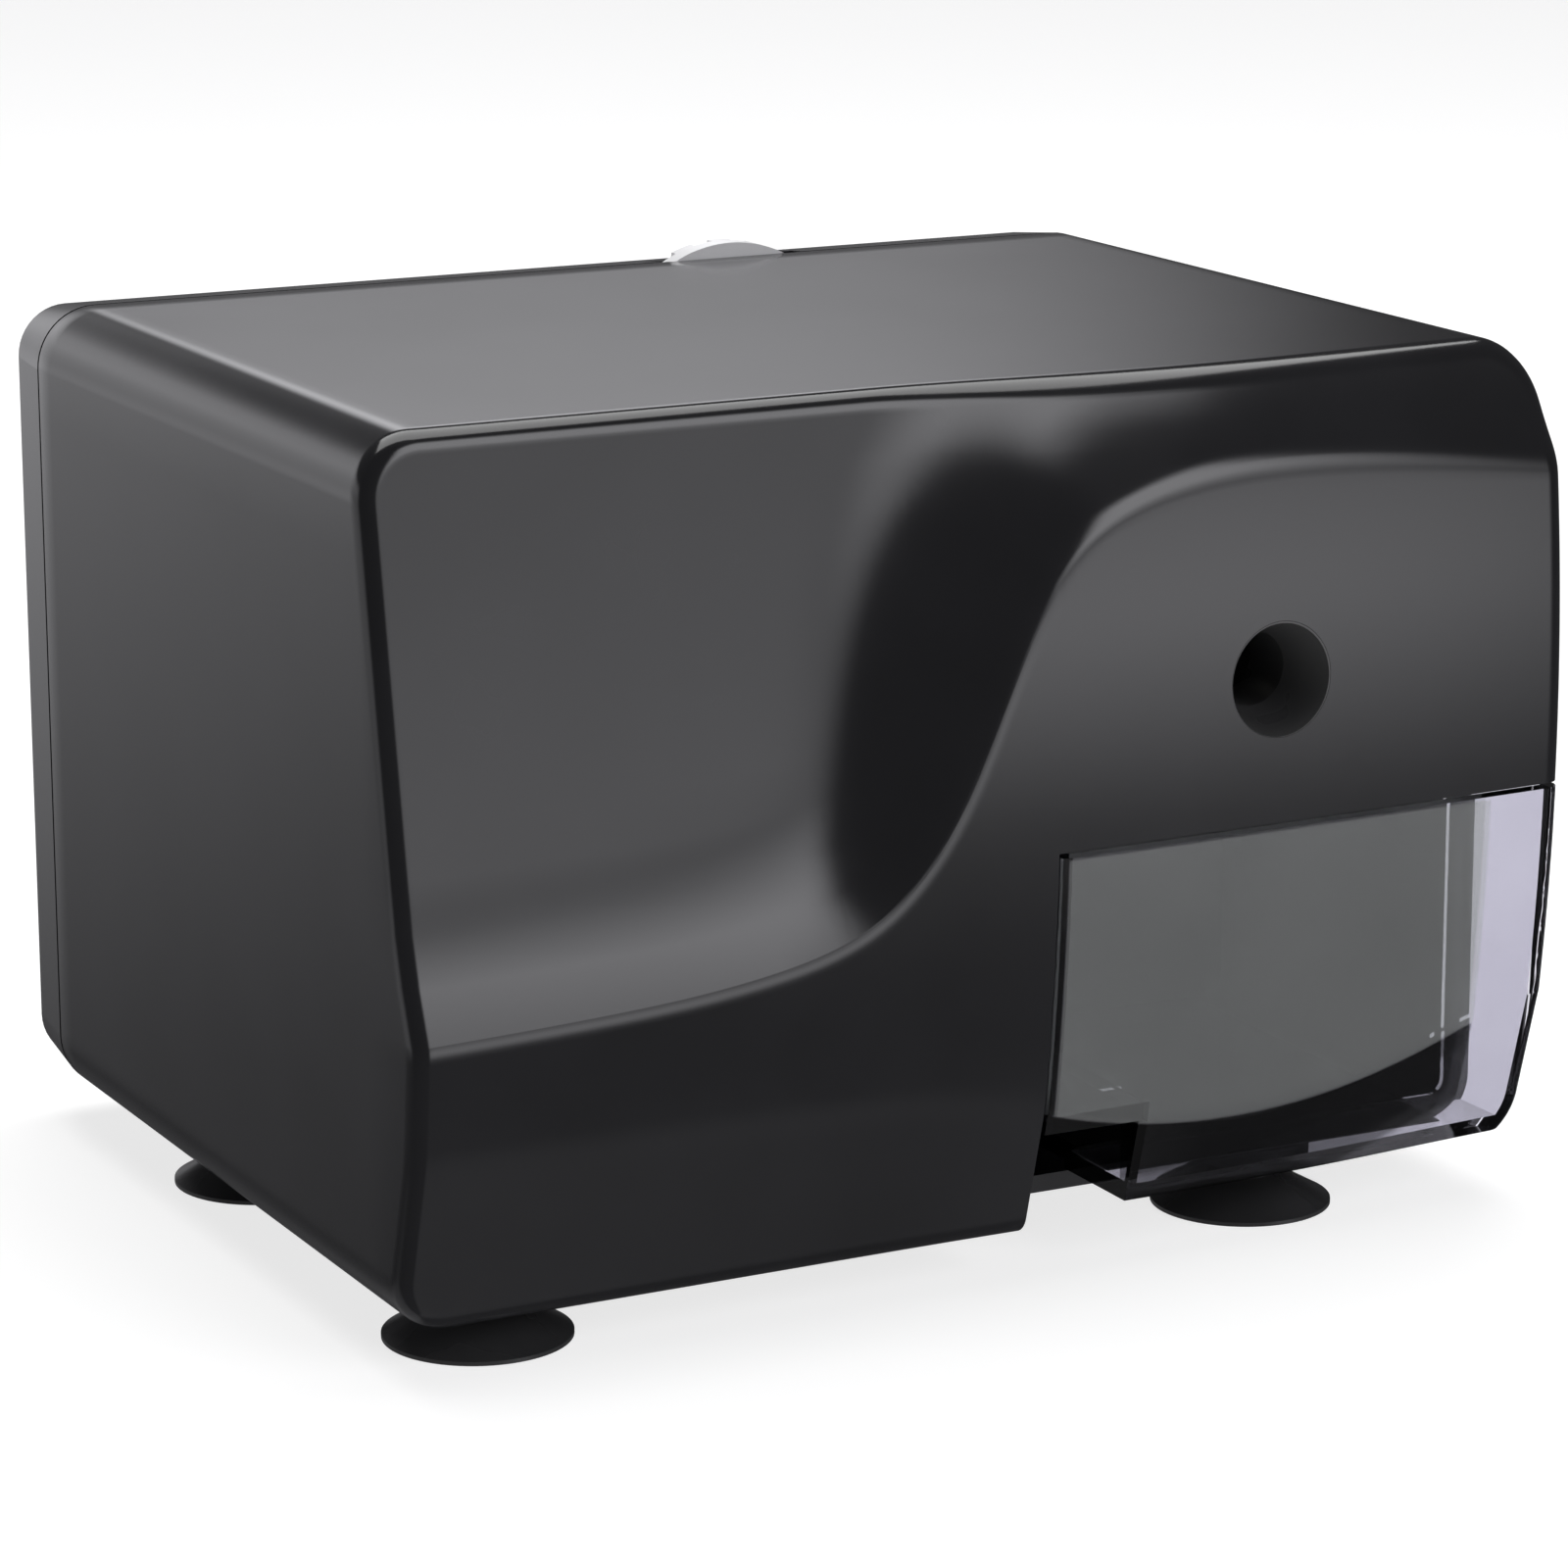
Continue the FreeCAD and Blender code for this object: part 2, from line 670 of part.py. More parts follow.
# ----------------------------------------------------------------- pencil guide
def pencil_guide(shell):
    """Funnel, guide tube and the two cheeks that hold the pencil lever."""
    mouth = band_y(axis_x, axis_z)
    tube = rod_y(axis_x, axis_z, mouth - 3, guide_back, guide_outer)
    flange = rod_y(axis_x, axis_z, pocket_front, pocket_front + 1.6, guide_flange)
    cheeks = []
    for side in (-1, 1):
        inner = axis_x + side * cheek_gap
        outer = axis_x + side * (cheek_gap + cheek)
        cheeks.append(box(min(inner, outer), max(inner, outer), sense_y - 3, -35.5,
                          axis_z + 4, 87))
    body = fuse_all([tube.common(shell), flange] + [c.common(case_cavity()) for c in cheeks])
    body = body.cut(cone_y(axis_x, axis_z, mouth - 2, mouth + funnel_depth,
                           funnel_mouth + 0.65, pencil_bore))
    body = body.cut(rod_y(axis_x, axis_z, mouth, guide_back + 1, pencil_bore))
    relief_front = sense_y + 0.5
    body = body.cut(rod_y(axis_x, axis_z, relief_front, guide_back + 1, guide_relief))
    body = body.cut(box(axis_x - 2, axis_x + 2, relief_front, guide_back - 1,
                        axis_z, axis_z + 8))
    return body.cut(sense_pin_hole(sense_pin_radius))


def sense_pin_hole(radius):
    reach = cheek_gap + cheek
    return Part.makeCylinder(radius, 2 * reach, Vector(axis_x - reach, sense_y, sense_z),
                             Vector(1, 0, 0))


def sense_lever():
    """Bell crank whose nose hangs into the pencil bore."""
    outline = [
        (sense_y - 2.2, sense_z - 1.5), (sense_y + 0.2, sense_z - 3.5), (-39.6, 68.6),
        (-38.4, 67.0), (-37.2, 67.6), (-39.6, sense_z - 1.5), (-38.2, sense_z - 1.2),
        (-38.2, sense_z + 1.5), (sense_y - 2.2, sense_z + 1.5),
    ]
    body = prism_x(outline, axis_x - 1.5, axis_x + 1.5)
    return body.cut(sense_pin_hole(sense_pin_radius + slide_fit))


def sense_switch():
    body = box(axis_x - cheek_gap, axis_x + cheek_gap, sense_y + 0.4, -36, sense_switch_bottom, 86)
    return body.cut(rod_z(axis_x, button_y, 0, sense_switch_bottom + 3.2, 0.85))


def sense_button():
    return rod_z(axis_x, button_y, sense_z + 1.85, sense_switch_bottom + 1.4, 0.8)


def coil(x, y, z, axis, radius, wire, length, turns):
    """Coil spring: a round wire swept along a helix."""
    helix = Part.makeHelix(length / turns, length, radius)
    ring = Part.Wire(Part.makeCircle(wire, Vector(radius, 0, 0), Vector(0, 1, 0)))
    body = Part.Wire(helix.Edges).makePipeShell([ring], True, True)
    body.Placement = FreeCAD.Placement(Vector(x, y, z),
                                       FreeCAD.Rotation(Vector(0, 0, 1), axis))
    return body


# ------------------------------------------------------------- gearbox and motor
def gearbox_frame():
    x0, x1, z0, z1 = -35.0, 56.0, 41.0, 89.0
    plate = box(x0, x1, frame_plate_front, frame_plate_back, z0, z1)
    shapes = [plate]
    for x, y in frame_legs_at:
        shapes.append(box(x - 5, x + 5, frame_plate_front, frame_plate_back, inner_floor, z0 + 1))
        shapes.append(box(x - 5, x + 5, frame_plate_front, y + 5, inner_floor,
                          inner_floor + plate_thickness))
    body = fuse_all(shapes)
    body = body.cut(rod_y(axis_x, axis_z, 0, 30, spindle_radius + bush_wall))
    body = body.cut(rod_y(motor_x, axis_z, 0, 30, motor_boss_radius + slide_fit))
    body = body.cut(rod_y(idler_x, axis_z, 0, 30, idler_shaft_radius))
    for dx, dz in motor_screws_at:
        body = body.cut(rod_y(motor_x + dx, axis_z + dz, 0, 30, screw_radius))
    for x, z in standoffs_at:
        body = body.cut(rod_y(x, z, 0, 30, screw_radius))
    for x, y in frame_legs_at:
        body = body.cut(rod_z(x, y, 0, 30, screw_radius))
    return body


def gearbox_rear_plate():
    plate = box(-30, 54, rear_plate_front, rear_plate_back, 42, 87)
    plate = plate.cut(rod_y(axis_x, axis_z, 30, 50, spindle_radius + bush_wall))
    plate = plate.cut(rod_y(idler_x, axis_z, 30, 50, idler_shaft_radius))
    plate = plate.cut(rod_y(dial_x, dial_z, 30, 50, dial_axle_radius))
    for x, z in standoffs_at:
        plate = plate.cut(rod_y(x, z, 30, 50, screw_radius))
    return plate


def gearbox_standoffs():
    posts = [tube_y(x, z, frame_plate_back, rear_plate_front, 3.0, screw_radius)
             for x, z in standoffs_at]
    return Part.makeCompound(posts)


def spindle_bush(y0, y1, flange_y0, flange_y1):
    inner = spindle_radius + slide_fit
    outer = spindle_radius + bush_wall
    body = fuse_all([rod_y(axis_x, axis_z, y0, y1, outer),
                     rod_y(axis_x, axis_z, flange_y0, flange_y1, outer + 1.5)])
    return body.cut(rod_y(axis_x, axis_z, y0 - 5, y1 + 5, inner))


def drive_gear():
    body = gear(drive_module, drive_teeth, axis_x, axis_z, drive_gear_front,
                drive_gear_front + drive_gear_width, math.pi, spindle_radius)
    for spoke in range(5):
        angle = 2 * math.pi * spoke / 5
        x = axis_x + 12 * math.cos(angle)
        z = axis_z + 12 * math.sin(angle)
        body = body.cut(rod_y(x, z, drive_gear_front - 1, drive_gear_front + 10, 3.4))
    return body


def idler_gear():
    """Compound gear: large wheel from the motor, small wheel to the drive gear."""
    small = gear(drive_module, idler_small_teeth, idler_x, axis_z, drive_gear_front - 0.5,
                 reduction_gear_front, half_tooth_angle(idler_small_teeth))
    large = gear(motor_module, idler_large_teeth, idler_x, axis_z, reduction_gear_front,
                 reduction_gear_front + reduction_gear_width, math.pi)
    body = small.fuse(large)
    return body.cut(rod_y(idler_x, axis_z, 0, 50, idler_shaft_radius + slide_fit))


def motor_pinion():
    return gear(motor_module, motor_pinion_teeth, motor_x, axis_z, reduction_gear_front - 0.5,
                reduction_gear_front + reduction_gear_width + 0.5,
                half_tooth_angle(motor_pinion_teeth), motor_shaft_radius)


def motor_can():
    body = rod_y(motor_x, axis_z, motor_front, motor_back, motor_radius)
    body = body.fuse(rod_y(motor_x, axis_z, motor_back, frame_plate_back, motor_boss_radius))
    body = body.cut(rod_y(motor_x, axis_z, motor_front - 1, motor_back - 2,
                          motor_radius - motor_can_wall))
    body = body.cut(rod_y(motor_x, axis_z, 0, 40, motor_shaft_radius + slide_fit))
    for dx, dz in motor_screws_at:
        body = body.cut(rod_y(motor_x + dx, axis_z + dz, motor_back - 3, 40, screw_radius))
    return body


def motor_magnets():
    inner_radius = motor_radius - motor_can_wall
    ring = tube_y(motor_x, axis_z, motor_front + 8, motor_back - 8, inner_radius,
                  inner_radius - 3)
    gap = box(motor_x - 4, motor_x + 4, motor_front, motor_back, 0, top)
    return ring.cut(gap)


def motor_end_cap():
    outer = motor_radius - motor_can_wall
    body = fuse_all([rod_y(motor_x, axis_z, motor_front - 2.5, motor_front, motor_radius - 0.6),
                     rod_y(motor_x, axis_z, motor_front, motor_front + 3, outer)])
    return body.cut(rod_y(motor_x, axis_z, motor_front - 3, motor_front + 4,
                          motor_shaft_radius + slide_fit))


def motor_terminals():
    tabs = [box(motor_x + side * 11 - 0.4, motor_x + side * 11 + 0.4, motor_front - 7,
                motor_front - 2.5, axis_z - 2.4, axis_z + 2.4) for side in (-1, 1)]
    return Part.makeCompound(tabs)


def motor_armature():
    outer = motor_radius - 5.0
    body = rod_y(motor_x, axis_z, motor_front + 9, motor_back - 9, outer)
    for pole in range(5):
        angle = 2 * math.pi * pole / 5
        x, z = outer * math.cos(angle), outer * math.sin(angle)
        body = body.cut(rod_y(motor_x + x, axis_z + z, motor_front, motor_back, 2.4))
    return body.cut(rod_y(motor_x, axis_z, motor_front, motor_back, motor_shaft_radius))


def motor_shaft():
    return rod_y(motor_x, axis_z, motor_front - 2.4,
                 reduction_gear_front + reduction_gear_width + 1.5, motor_shaft_radius)


def motor_cradle():
    saddle = box(motor_x - 12, motor_x + 12, -26, -20, inner_floor, axis_z - 6)
    window = box(motor_x - 8, motor_x + 8, -27, -19, inner_floor + 4, 40)
    saddle = saddle.cut(rod_y(motor_x, axis_z, -30, -10, motor_radius)).cut(window)
    foot = box(motor_x - 12, motor_x + 12, -29, -17, inner_floor, inner_floor + 2)
    return saddle.fuse(foot)


# -------------------------------------------------------------- dial and stop
def adjust_dial():
    """Thumbwheel with rim notches, a neck and the gear that turns the stop nut."""
    wheel = rod_y(dial_x, dial_z, dial_front, dial_back, dial_radius)
    for notch in range(20):
        angle = 2 * math.pi * (notch + 0.5) / 20
        x = dial_x + (dial_radius + 0.5) * math.cos(angle)
        z = dial_z + (dial_radius + 0.5) * math.sin(angle)
        wheel = wheel.cut(rod_y(x, z, dial_back - 1.2, dial_back + 1, 1.3))
    neck = rod_y(dial_x, dial_z, dial_gear_back, dial_front, dial_neck)
    toothed = gear(1.0, dial_gear_teeth, dial_x, dial_z, dial_gear_front, dial_gear_back,
                   dial_mesh_angle())
    body = fuse_all([wheel, neck, toothed])
    return body.cut(rod_y(dial_x, dial_z, 30, back, dial_axle_radius + slide_fit))


def dial_mesh_angle():
    """Direction from the dial's axis to the pencil axis."""
    return math.atan2(axis_z - dial_z, axis_x - dial_x)


def dial_axle():
    return rod_y(dial_x, dial_z, rear_plate_front, inner_back + 0.8, dial_axle_radius)


def stop_gear():
    phase = dial_mesh_angle() + math.pi + half_tooth_angle(stop_gear_teeth)
    toothed = gear(1.0, stop_gear_teeth, axis_x, axis_z, dial_gear_front, dial_gear_back, phase)
    hub = rod_y(axis_x, axis_z, rear_plate_back + 2.2, seam - dial_gap, 5.0)
    body = fuse_all([toothed, hub])
    return body.cut(rod_y(axis_x, axis_z, 30, back, stop_screw_radius + slide_fit))


def pencil_stop():
    """Rod that meets the pencil tip, its screw and its square, non-turning tail."""
    screw_front = rear_plate_back + 2.4
    screw_back = seam - dial_gap - stop_travel
    side = stop_tail_side / 2
    return fuse_all([
        rod_y(axis_x, axis_z, stop_tip, screw_front, stop_rod_radius),
        rod_y(axis_x, axis_z, screw_front, screw_back, stop_screw_radius),
        box(axis_x - side, axis_x + side, screw_back, inner_back - stop_travel - 0.3,
            axis_z - side, axis_z + side),
    ])


# -------------------------------------------------------------------- switches
def bin_switch():
    body = box(bin_switch_x - 5, bin_switch_x + 5, bay_back + bay_wall, bay_back + bay_wall + 4.4,
               bin_switch_z - 6, bin_switch_z + 6)
    return body.cut(rod_y(bin_switch_x, bin_switch_z, 0, bay_back + bay_wall + 3.4, 1.05))


def bin_switch_plunger():
    return rod_y(bin_switch_x, bin_switch_z, drawer_back + 0.1, bay_back + bay_wall + 2.2, 1.0)


# ---------------------------------------------------------------- electric parts
def dc_jack():
    body = box(jack_x - 4.5, jack_x + 4.5, inner_back - 10, inner_back, jack_z - 5.5, jack_z + 5)
    body = body.fuse(rod_y(jack_x, jack_z, inner_back, back - 0.5, jack_bore + 1.1))
    body = body.cut(rod_y(jack_x, jack_z, inner_back - 7, back, jack_bore))
    return body.fuse(rod_y(jack_x, jack_z, inner_back - 8, back - 1.5, jack_pin))


def circuit_board():
    x0, x1, y0, y1 = board_box
    board = box(x0, x1, y0, y1, board_height, board_height + board_thickness)
    for px in (x0 + 3, x1 - 3):
        for py in (y0 + 3, y1 - 3):
            board = board.cut(rod_z(px, py, 0, 20, 1.0))
    return board


def board_parts():
    """Relay, capacitor, regulator and header soldered to the board."""
    z = board_height + board_thickness
    x0, x1, y0, y1 = board_box
    middle = (x0 + x1) / 2
    return {
        "board_relay": box(middle - 5, middle + 5, -10, 5, z, z + 12),
        "board_capacitor": rod_z(middle, -18, z, z + 13, 4.0),
        "board_regulator": box(middle - 5, middle + 5, -24.5, -23, z, z + 9),
        "board_header": box(middle - 6, middle + 6, 7, 12, z, z + 6),
    }


def wire_route(points, radius):
    """Round wire along straight runs joined by tangent arcs."""
    edges = []
    here = points[0]
    for i in range(1, len(points) - 1):
        a, b, c = points[i - 1], points[i], points[i + 1]
        one, two = (a - b), (c - b)
        angle = one.getAngle(two)
        cut = 0.45 * min(one.Length, two.Length)
        one.normalize()
        two.normalize()
        start, end = b + one * cut, b + two * cut
        bend = cut * math.tan(angle / 2)
        bisector = (one + two).normalize()
        centre = b + bisector * (bend / math.sin(angle / 2))
        middle = centre - bisector * bend
        edges.append(Part.LineSegment(here, start).toShape())
        edges.append(Part.Arc(start, middle, end).toShape())
        here = end
    edges.append(Part.LineSegment(here, points[-1]).toShape())
    path = Part.Wire(edges)
    ring = Part.Wire(Part.makeCircle(radius, points[0], points[1] - points[0]))
    return path.makePipeShell([ring], True, False)


def power_leads():
    """Two leads from the rear inlet to the board header."""
    z = board_height + board_thickness + 4
    leads = []
    for side in (-1, 1):
        x = jack_x + side * 2.0
        leads.append(wire_route([
            Vector(x, inner_back - 10, jack_z - 2), Vector(x, 36, jack_z - 2),
            Vector(x + 3, 24, z), Vector(x + 3, 12, z)], wire_radius))
    return Part.makeCompound(leads)


def motor_leads():
    """Two leads from the board up to the motor's terminals."""
    z = board_height + board_thickness
    leads = []
    for side in (-1, 1):
        x = motor_x + side * 11
        start = board_box[0] + 10 + side * 3
        leads.append(wire_route([
            Vector(start, -27.2, z), Vector(start, -27.2, z + 16),
            Vector(start + 3, -44 - side, z + 22), Vector(x, -46 + side, 50),
            Vector(x, motor_front - 5.2, axis_z - 8),
            Vector(x, motor_front - 5.2, axis_z - 2.4)], wire_radius))
    return Part.makeCompound(leads)


# -------------------------------------------------------------------- fasteners
def screw_y(x, z, head_y, tip_y, head_back):
    """Cross-recess screw along Y; head_back is +1 when the head faces +Y."""
    low, high = min(head_y, tip_y), max(head_y, tip_y)
    shank = rod_y(x, z, low, high, screw_radius)
    y0 = head_y if head_back > 0 else head_y - screw_head_height
    head = rod_y(x, z, y0, y0 + screw_head_height, screw_head)
    face = head_y + head_back * screw_head_height
    cut_low = min(face, face - head_back * 1.1)
    slots = [box(x - 1.6, x + 1.6, cut_low, cut_low + 1.1, z - 0.35, z + 0.35),
             box(x - 0.35, x + 0.35, cut_low, cut_low + 1.1, z - 1.6, z + 1.6)]
    return shank.fuse(head).cut(slots[0].fuse(slots[1]))


def screw_up(x, y, head_z, tip_z):
    """Cross-recess screw pointing up, its head below head_z."""
    shank = rod_z(x, y, head_z, tip_z, screw_radius)
    head = rod_z(x, y, bottom, head_z, screw_head)
    slots = [box(x - 1.6, x + 1.6, y - 0.35, y + 0.35, bottom, bottom + 0.6),
             box(x - 0.35, x + 0.35, y - 1.6, y + 1.6, bottom, bottom + 0.6)]
    return shank.fuse(head).cut(slots[0].fuse(slots[1]))


def fasteners():
    head_z = bottom + 1.0
    return {
        "cover_screws": [screw_y(x, z, back - 4, seam - 14, 1) for x, z in cover_screws_at],
        "base_screws": [screw_up(x, y, head_z, inner_floor + 9) for x, y in base_screws_at],
        "frame_screws": [screw_up(x, y, head_z, inner_floor + 3.4) for x, y in frame_legs_at],
        "motor_screws": [screw_y(motor_x + dx, axis_z + dz, frame_plate_back, motor_back - 3, 1)
                         for dx, dz in motor_screws_at],
        "gearbox_screws": [screw_y(x, z, rear_plate_back, frame_plate_front, 1)
                           for x, z in standoffs_at],
    }


# ---------------------------------------------------------------------- write
def main():
    shell = front_solid()
    save("main_housing", main_housing(shell))
    save("shavings_bin", shavings_bin(shell))
    save("pencil_guide", pencil_guide(shell))
    save("bin_bay", bin_bay())
    save("base_plate", base_plate())
    save("back_cover", back_cover())
    for place, (x, y) in feet.items():
        save("foot_" + place, suction_foot(x, y))

    save("ring_gear", ring_gear())
    save("cutter_carrier", cutter_carrier())
    save("helical_cutter", helical_cutter())
    save("cutter_pinion", cutter_pinion())
    save("cutter_axle", cutter_axle())
    save("drive_gear", drive_gear())

    save("gearbox_frame", gearbox_frame())
    save("gearbox_rear_plate", gearbox_rear_plate())
    save("gearbox_standoffs", gearbox_standoffs())
    save("spindle_bush_front", spindle_bush(frame_plate_front - 1.2, frame_plate_back,
                                            frame_plate_front - 1.2, frame_plate_front))
    save("spindle_bush_rear", spindle_bush(rear_plate_front, rear_plate_back + 1.2,
                                           rear_plate_back, rear_plate_back + 1.2))
    save("idler_gear", idler_gear())
    save("idler_shaft", rod_y(idler_x, axis_z, frame_plate_front, rear_plate_back,
                              idler_shaft_radius))

    save("motor_can", motor_can())
    save("motor_magnets", motor_magnets())
    save("motor_end_cap", motor_end_cap())
    save("motor_terminals", motor_terminals())
    save("motor_armature", motor_armature())
    save("motor_shaft", motor_shaft())
    save("motor_pinion", motor_pinion())
    save("motor_cradle", motor_cradle())

    save("adjust_dial", adjust_dial())
    save("dial_axle", dial_axle())
    save("stop_gear", stop_gear())
    save("pencil_stop", pencil_stop())

    save("sense_lever", sense_lever())
    save("sense_pin", sense_pin_hole(sense_pin_radius))
    save("sense_spring", coil(axis_x + 1.9, sense_y, sense_z, Vector(1, 0, 0), 1.7, 0.15,
                              1.2, 3))
    save("sense_switch", sense_switch())
    save("sense_button", sense_button())
    save("bin_switch", bin_switch())
    save("bin_switch_plunger", bin_switch_plunger())

    save("dc_jack", dc_jack())
    save("circuit_board", circuit_board())
    for name, shape in board_parts().items():
        save(name, shape)
    save("power_leads", power_leads())
    save("motor_leads", motor_leads())
    for name, screws in fasteners().items():
        save(name, Part.makeCompound(screws))


main()
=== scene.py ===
"""Looks of the electric pencil sharpener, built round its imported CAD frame.

Shapes are worked out in millimetres in the CAD's own frame and stored in metres.
"""
import json
import math

import bmesh
import bpy
import numpy as np
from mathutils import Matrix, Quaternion, Vector


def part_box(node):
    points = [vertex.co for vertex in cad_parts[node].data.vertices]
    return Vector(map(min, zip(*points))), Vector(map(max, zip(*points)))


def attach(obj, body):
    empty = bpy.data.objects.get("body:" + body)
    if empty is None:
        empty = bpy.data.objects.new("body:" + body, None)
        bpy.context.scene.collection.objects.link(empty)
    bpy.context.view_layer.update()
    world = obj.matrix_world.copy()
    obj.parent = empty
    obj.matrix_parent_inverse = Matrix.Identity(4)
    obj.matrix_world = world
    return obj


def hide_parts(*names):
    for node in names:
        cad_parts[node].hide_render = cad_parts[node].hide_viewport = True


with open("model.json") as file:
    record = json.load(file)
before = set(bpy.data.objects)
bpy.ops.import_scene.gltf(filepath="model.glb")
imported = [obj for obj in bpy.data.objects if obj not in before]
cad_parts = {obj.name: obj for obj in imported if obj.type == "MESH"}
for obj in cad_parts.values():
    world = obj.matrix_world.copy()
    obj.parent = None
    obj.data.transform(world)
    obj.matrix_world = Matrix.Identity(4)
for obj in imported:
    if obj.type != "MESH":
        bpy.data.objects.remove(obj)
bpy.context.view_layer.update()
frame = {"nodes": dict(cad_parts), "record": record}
nodes = frame["nodes"]
MM = 0.001


# ------------------------------------------------------------------ places
def cad_mm(node):
    low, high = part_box(node)
    return np.array(low) / MM, np.array(high) / MM


case_high = cad_mm("main_housing")[1]
cover_low, cover_high = cad_mm("back_cover")
drawer_low = cad_mm("shavings_bin")[0]
plate_low, plate_high = cad_mm("base_plate")

HALF = case_high[0]
FRONT = -cover_high[1]       # the origin is in the middle of the case's depth
SEAM = cover_low[1]
BOTTOM = plate_low[2]
TOP = case_high[2]
CORNER = 7.0
RIM = 2.0
AXIS = np.array([32.0, 65.0])    # pencil axis, as (x, z)

# Front surfaces, with the same values as the CAD case.
BAND_FRONT = FRONT - 0.6
CROWN = 57.0
CROWN_RADIUS = 250.0
PLAN_CROWN = -65.0
PLAN_RADIUS = 2630.0
VALLEY_RADIUS = 35.0
RECESS_SETBACK = 11.7
RECESS_LEAN = 0.17
LEAST_STEP = 0.4             # the recess is never nearer than this to the band
CHIN_SLOPE = 0.287
RIDGE_ROUND = 1.1
CREASE_ROUND = 0.35
LINE_END = HALF + 1.0

# Openings of the case.
BAY_LEFT = 4.3
BAY_TOP = 49.2
BAY_FRONT = -37.7
PLATE_STEP = -38.2           # the base plate is narrower ahead of this Y
PLATE_STEP_X = 2.3
FUNNEL_HOLE = 6.35
SHELL_THICKNESS = 1.15

# Ridge between the recess and the band, and crease above the chin, as (x, z).
RIDGE = [
    (-LINE_END, 37.7), (-50.0, 38.5), (-29.4, 40.5), (-17.4, 44.5), (-8.8, 53.7),
    (0.6, 72.9), (7.6, 82.2), (19.1, 87.2), (35.3, 88.5), (54.5, 87.1), (LINE_END, 85.0),
]
CREASE = [
    (-LINE_END, 24.3), (-39.5, 24.2), (-19.0, 23.7), (-3.7, 22.3), (13.0, 18.0),
    (28.8, 15.4), (44.2, 17.5), (56.1, 21.7), (LINE_END, 24.6),
]


# ------------------------------------------------------------ curves and skin
def smooth_curve(points, samples=1200):
    """Cubic spline through the points, spaced by chord length: dense (x, z) rows."""
    knots = np.array(points, float)
    chord = np.hypot(*np.diff(knots, axis=0).T)
    t = np.concatenate([[0], np.cumsum(chord)])
    n = len(t)
    system, right = np.zeros((n, n)), np.zeros((n, 2))
    system[0, 0] = system[-1, -1] = 1
    for i in range(1, n - 1):
        before, after = t[i] - t[i - 1], t[i + 1] - t[i]
        system[i, i - 1:i + 2] = before, 2 * (before + after), after
        right[i] = 6 * ((knots[i + 1] - knots[i]) / after - (knots[i] - knots[i - 1]) / before)
    bend = np.linalg.solve(system, right)
    at = np.linspace(0, t[-1], samples)
    k = np.clip(np.searchsorted(t, at, side="right") - 1, 0, n - 2)
    span = (t[k + 1] - t[k])[:, None]
    a, b = (t[k + 1] - at)[:, None] / span, (at - t[k])[:, None] / span
    curve = a * knots[k] + b * knots[k + 1]
    return curve + ((a ** 3 - a) * bend[k] + (b ** 3 - b) * bend[k + 1]) * span ** 2 / 6


ridge_line = smooth_curve(RIDGE)
crease_line = smooth_curve(CREASE)


def ridge_z(x):
    return np.interp(x, ridge_line[:, 0], ridge_line[:, 1])


def crease_z(x):
    return np.interp(x, crease_line[:, 0], crease_line[:, 1])


def band_y(x, z):
    side_view = (z - CROWN) ** 2 / (2 * CROWN_RADIUS)
    return BAND_FRONT + side_view + (x - PLAN_CROWN) ** 2 / (2 * PLAN_RADIUS)


def recess_plane_y(z):
    return FRONT + RECESS_SETBACK - RECESS_LEAN * (TOP - BOTTOM - z)


def soft_max(a, b, radius):
    """The larger of a and b, with the crossing rounded over about that radius."""
    h = np.clip(1 - np.abs(a - b) / radius, 0, 1)
    return np.maximum(a, b) + h * h * radius / 4


def recess_y(x, z):
    """Leaning plane that sweeps up to the ridge, as on the CAD case."""
    along = np.gradient(ridge_line, axis=0)
    along /= np.hypot(*along.T)[:, None]
    gap_x = x[:, None] - ridge_line[None, :, 0]
    gap_z = z[:, None] - ridge_line[None, :, 1]
    near = np.argmin(gap_x ** 2 + gap_z ** 2, axis=1)
    pick = np.arange(len(x))
    gx, gz = gap_x[pick, near], gap_z[pick, near]
    distance = along[near, 0] * gz - along[near, 1] * gx
    height = ridge_line[near, 1]
    step = recess_plane_y(height) - band_y(ridge_line[near, 0], height)
    step = np.maximum(step, LEAST_STEP)
    reach = np.sqrt(2 * VALLEY_RADIUS * step)
    rise = np.where(distance < reach, (reach - distance) ** 2 / (2 * VALLEY_RADIUS), 0.0)
    rise = np.where(distance < 0, step - distance * reach / VALLEY_RADIUS, rise)
    return recess_plane_y(z) - rise


def chin_y(x, z):
    high = crease_z(x)
    return band_y(x, high) + CHIN_SLOPE * (high - z)


def skin_y(x, z):
    """Front of the case at each (x, z), before its rim is rounded."""
    x, z = np.asarray(x, float), np.asarray(z, float)
    shape = x.shape
    x, z = x.ravel(), z.ravel()
    y = soft_max(band_y(x, z), recess_y(x, z), RIDGE_ROUND)
    return soft_max(y, chin_y(x, z), CREASE_ROUND).reshape(shape)


def rim_drop(inside, radius):
    """How far a rounded edge falls back, at this distance inside the outline."""
    u = np.clip(radius - inside, 0, radius)
    return radius - np.sqrt(radius ** 2 - u ** 2)


def outline_distance(x, z):
    """Distance inside the case's rounded outline."""
    dx = np.abs(x) - (HALF - CORNER)
    dz = np.abs(z - (TOP + BOTTOM) / 2) - ((TOP - BOTTOM) / 2 - CORNER)
    outside = np.hypot(np.maximum(dx, 0), np.maximum(dz, 0))
    return CORNER - outside - np.minimum(np.maximum(dx, dz), 0)


def front_point(x, z):
    x, z = np.broadcast_arrays(np.asarray(x, float), np.asarray(z, float))
    y = skin_y(x, z) + rim_drop(outline_distance(x, z), RIM)
    return np.stack([x, y, z], axis=-1)


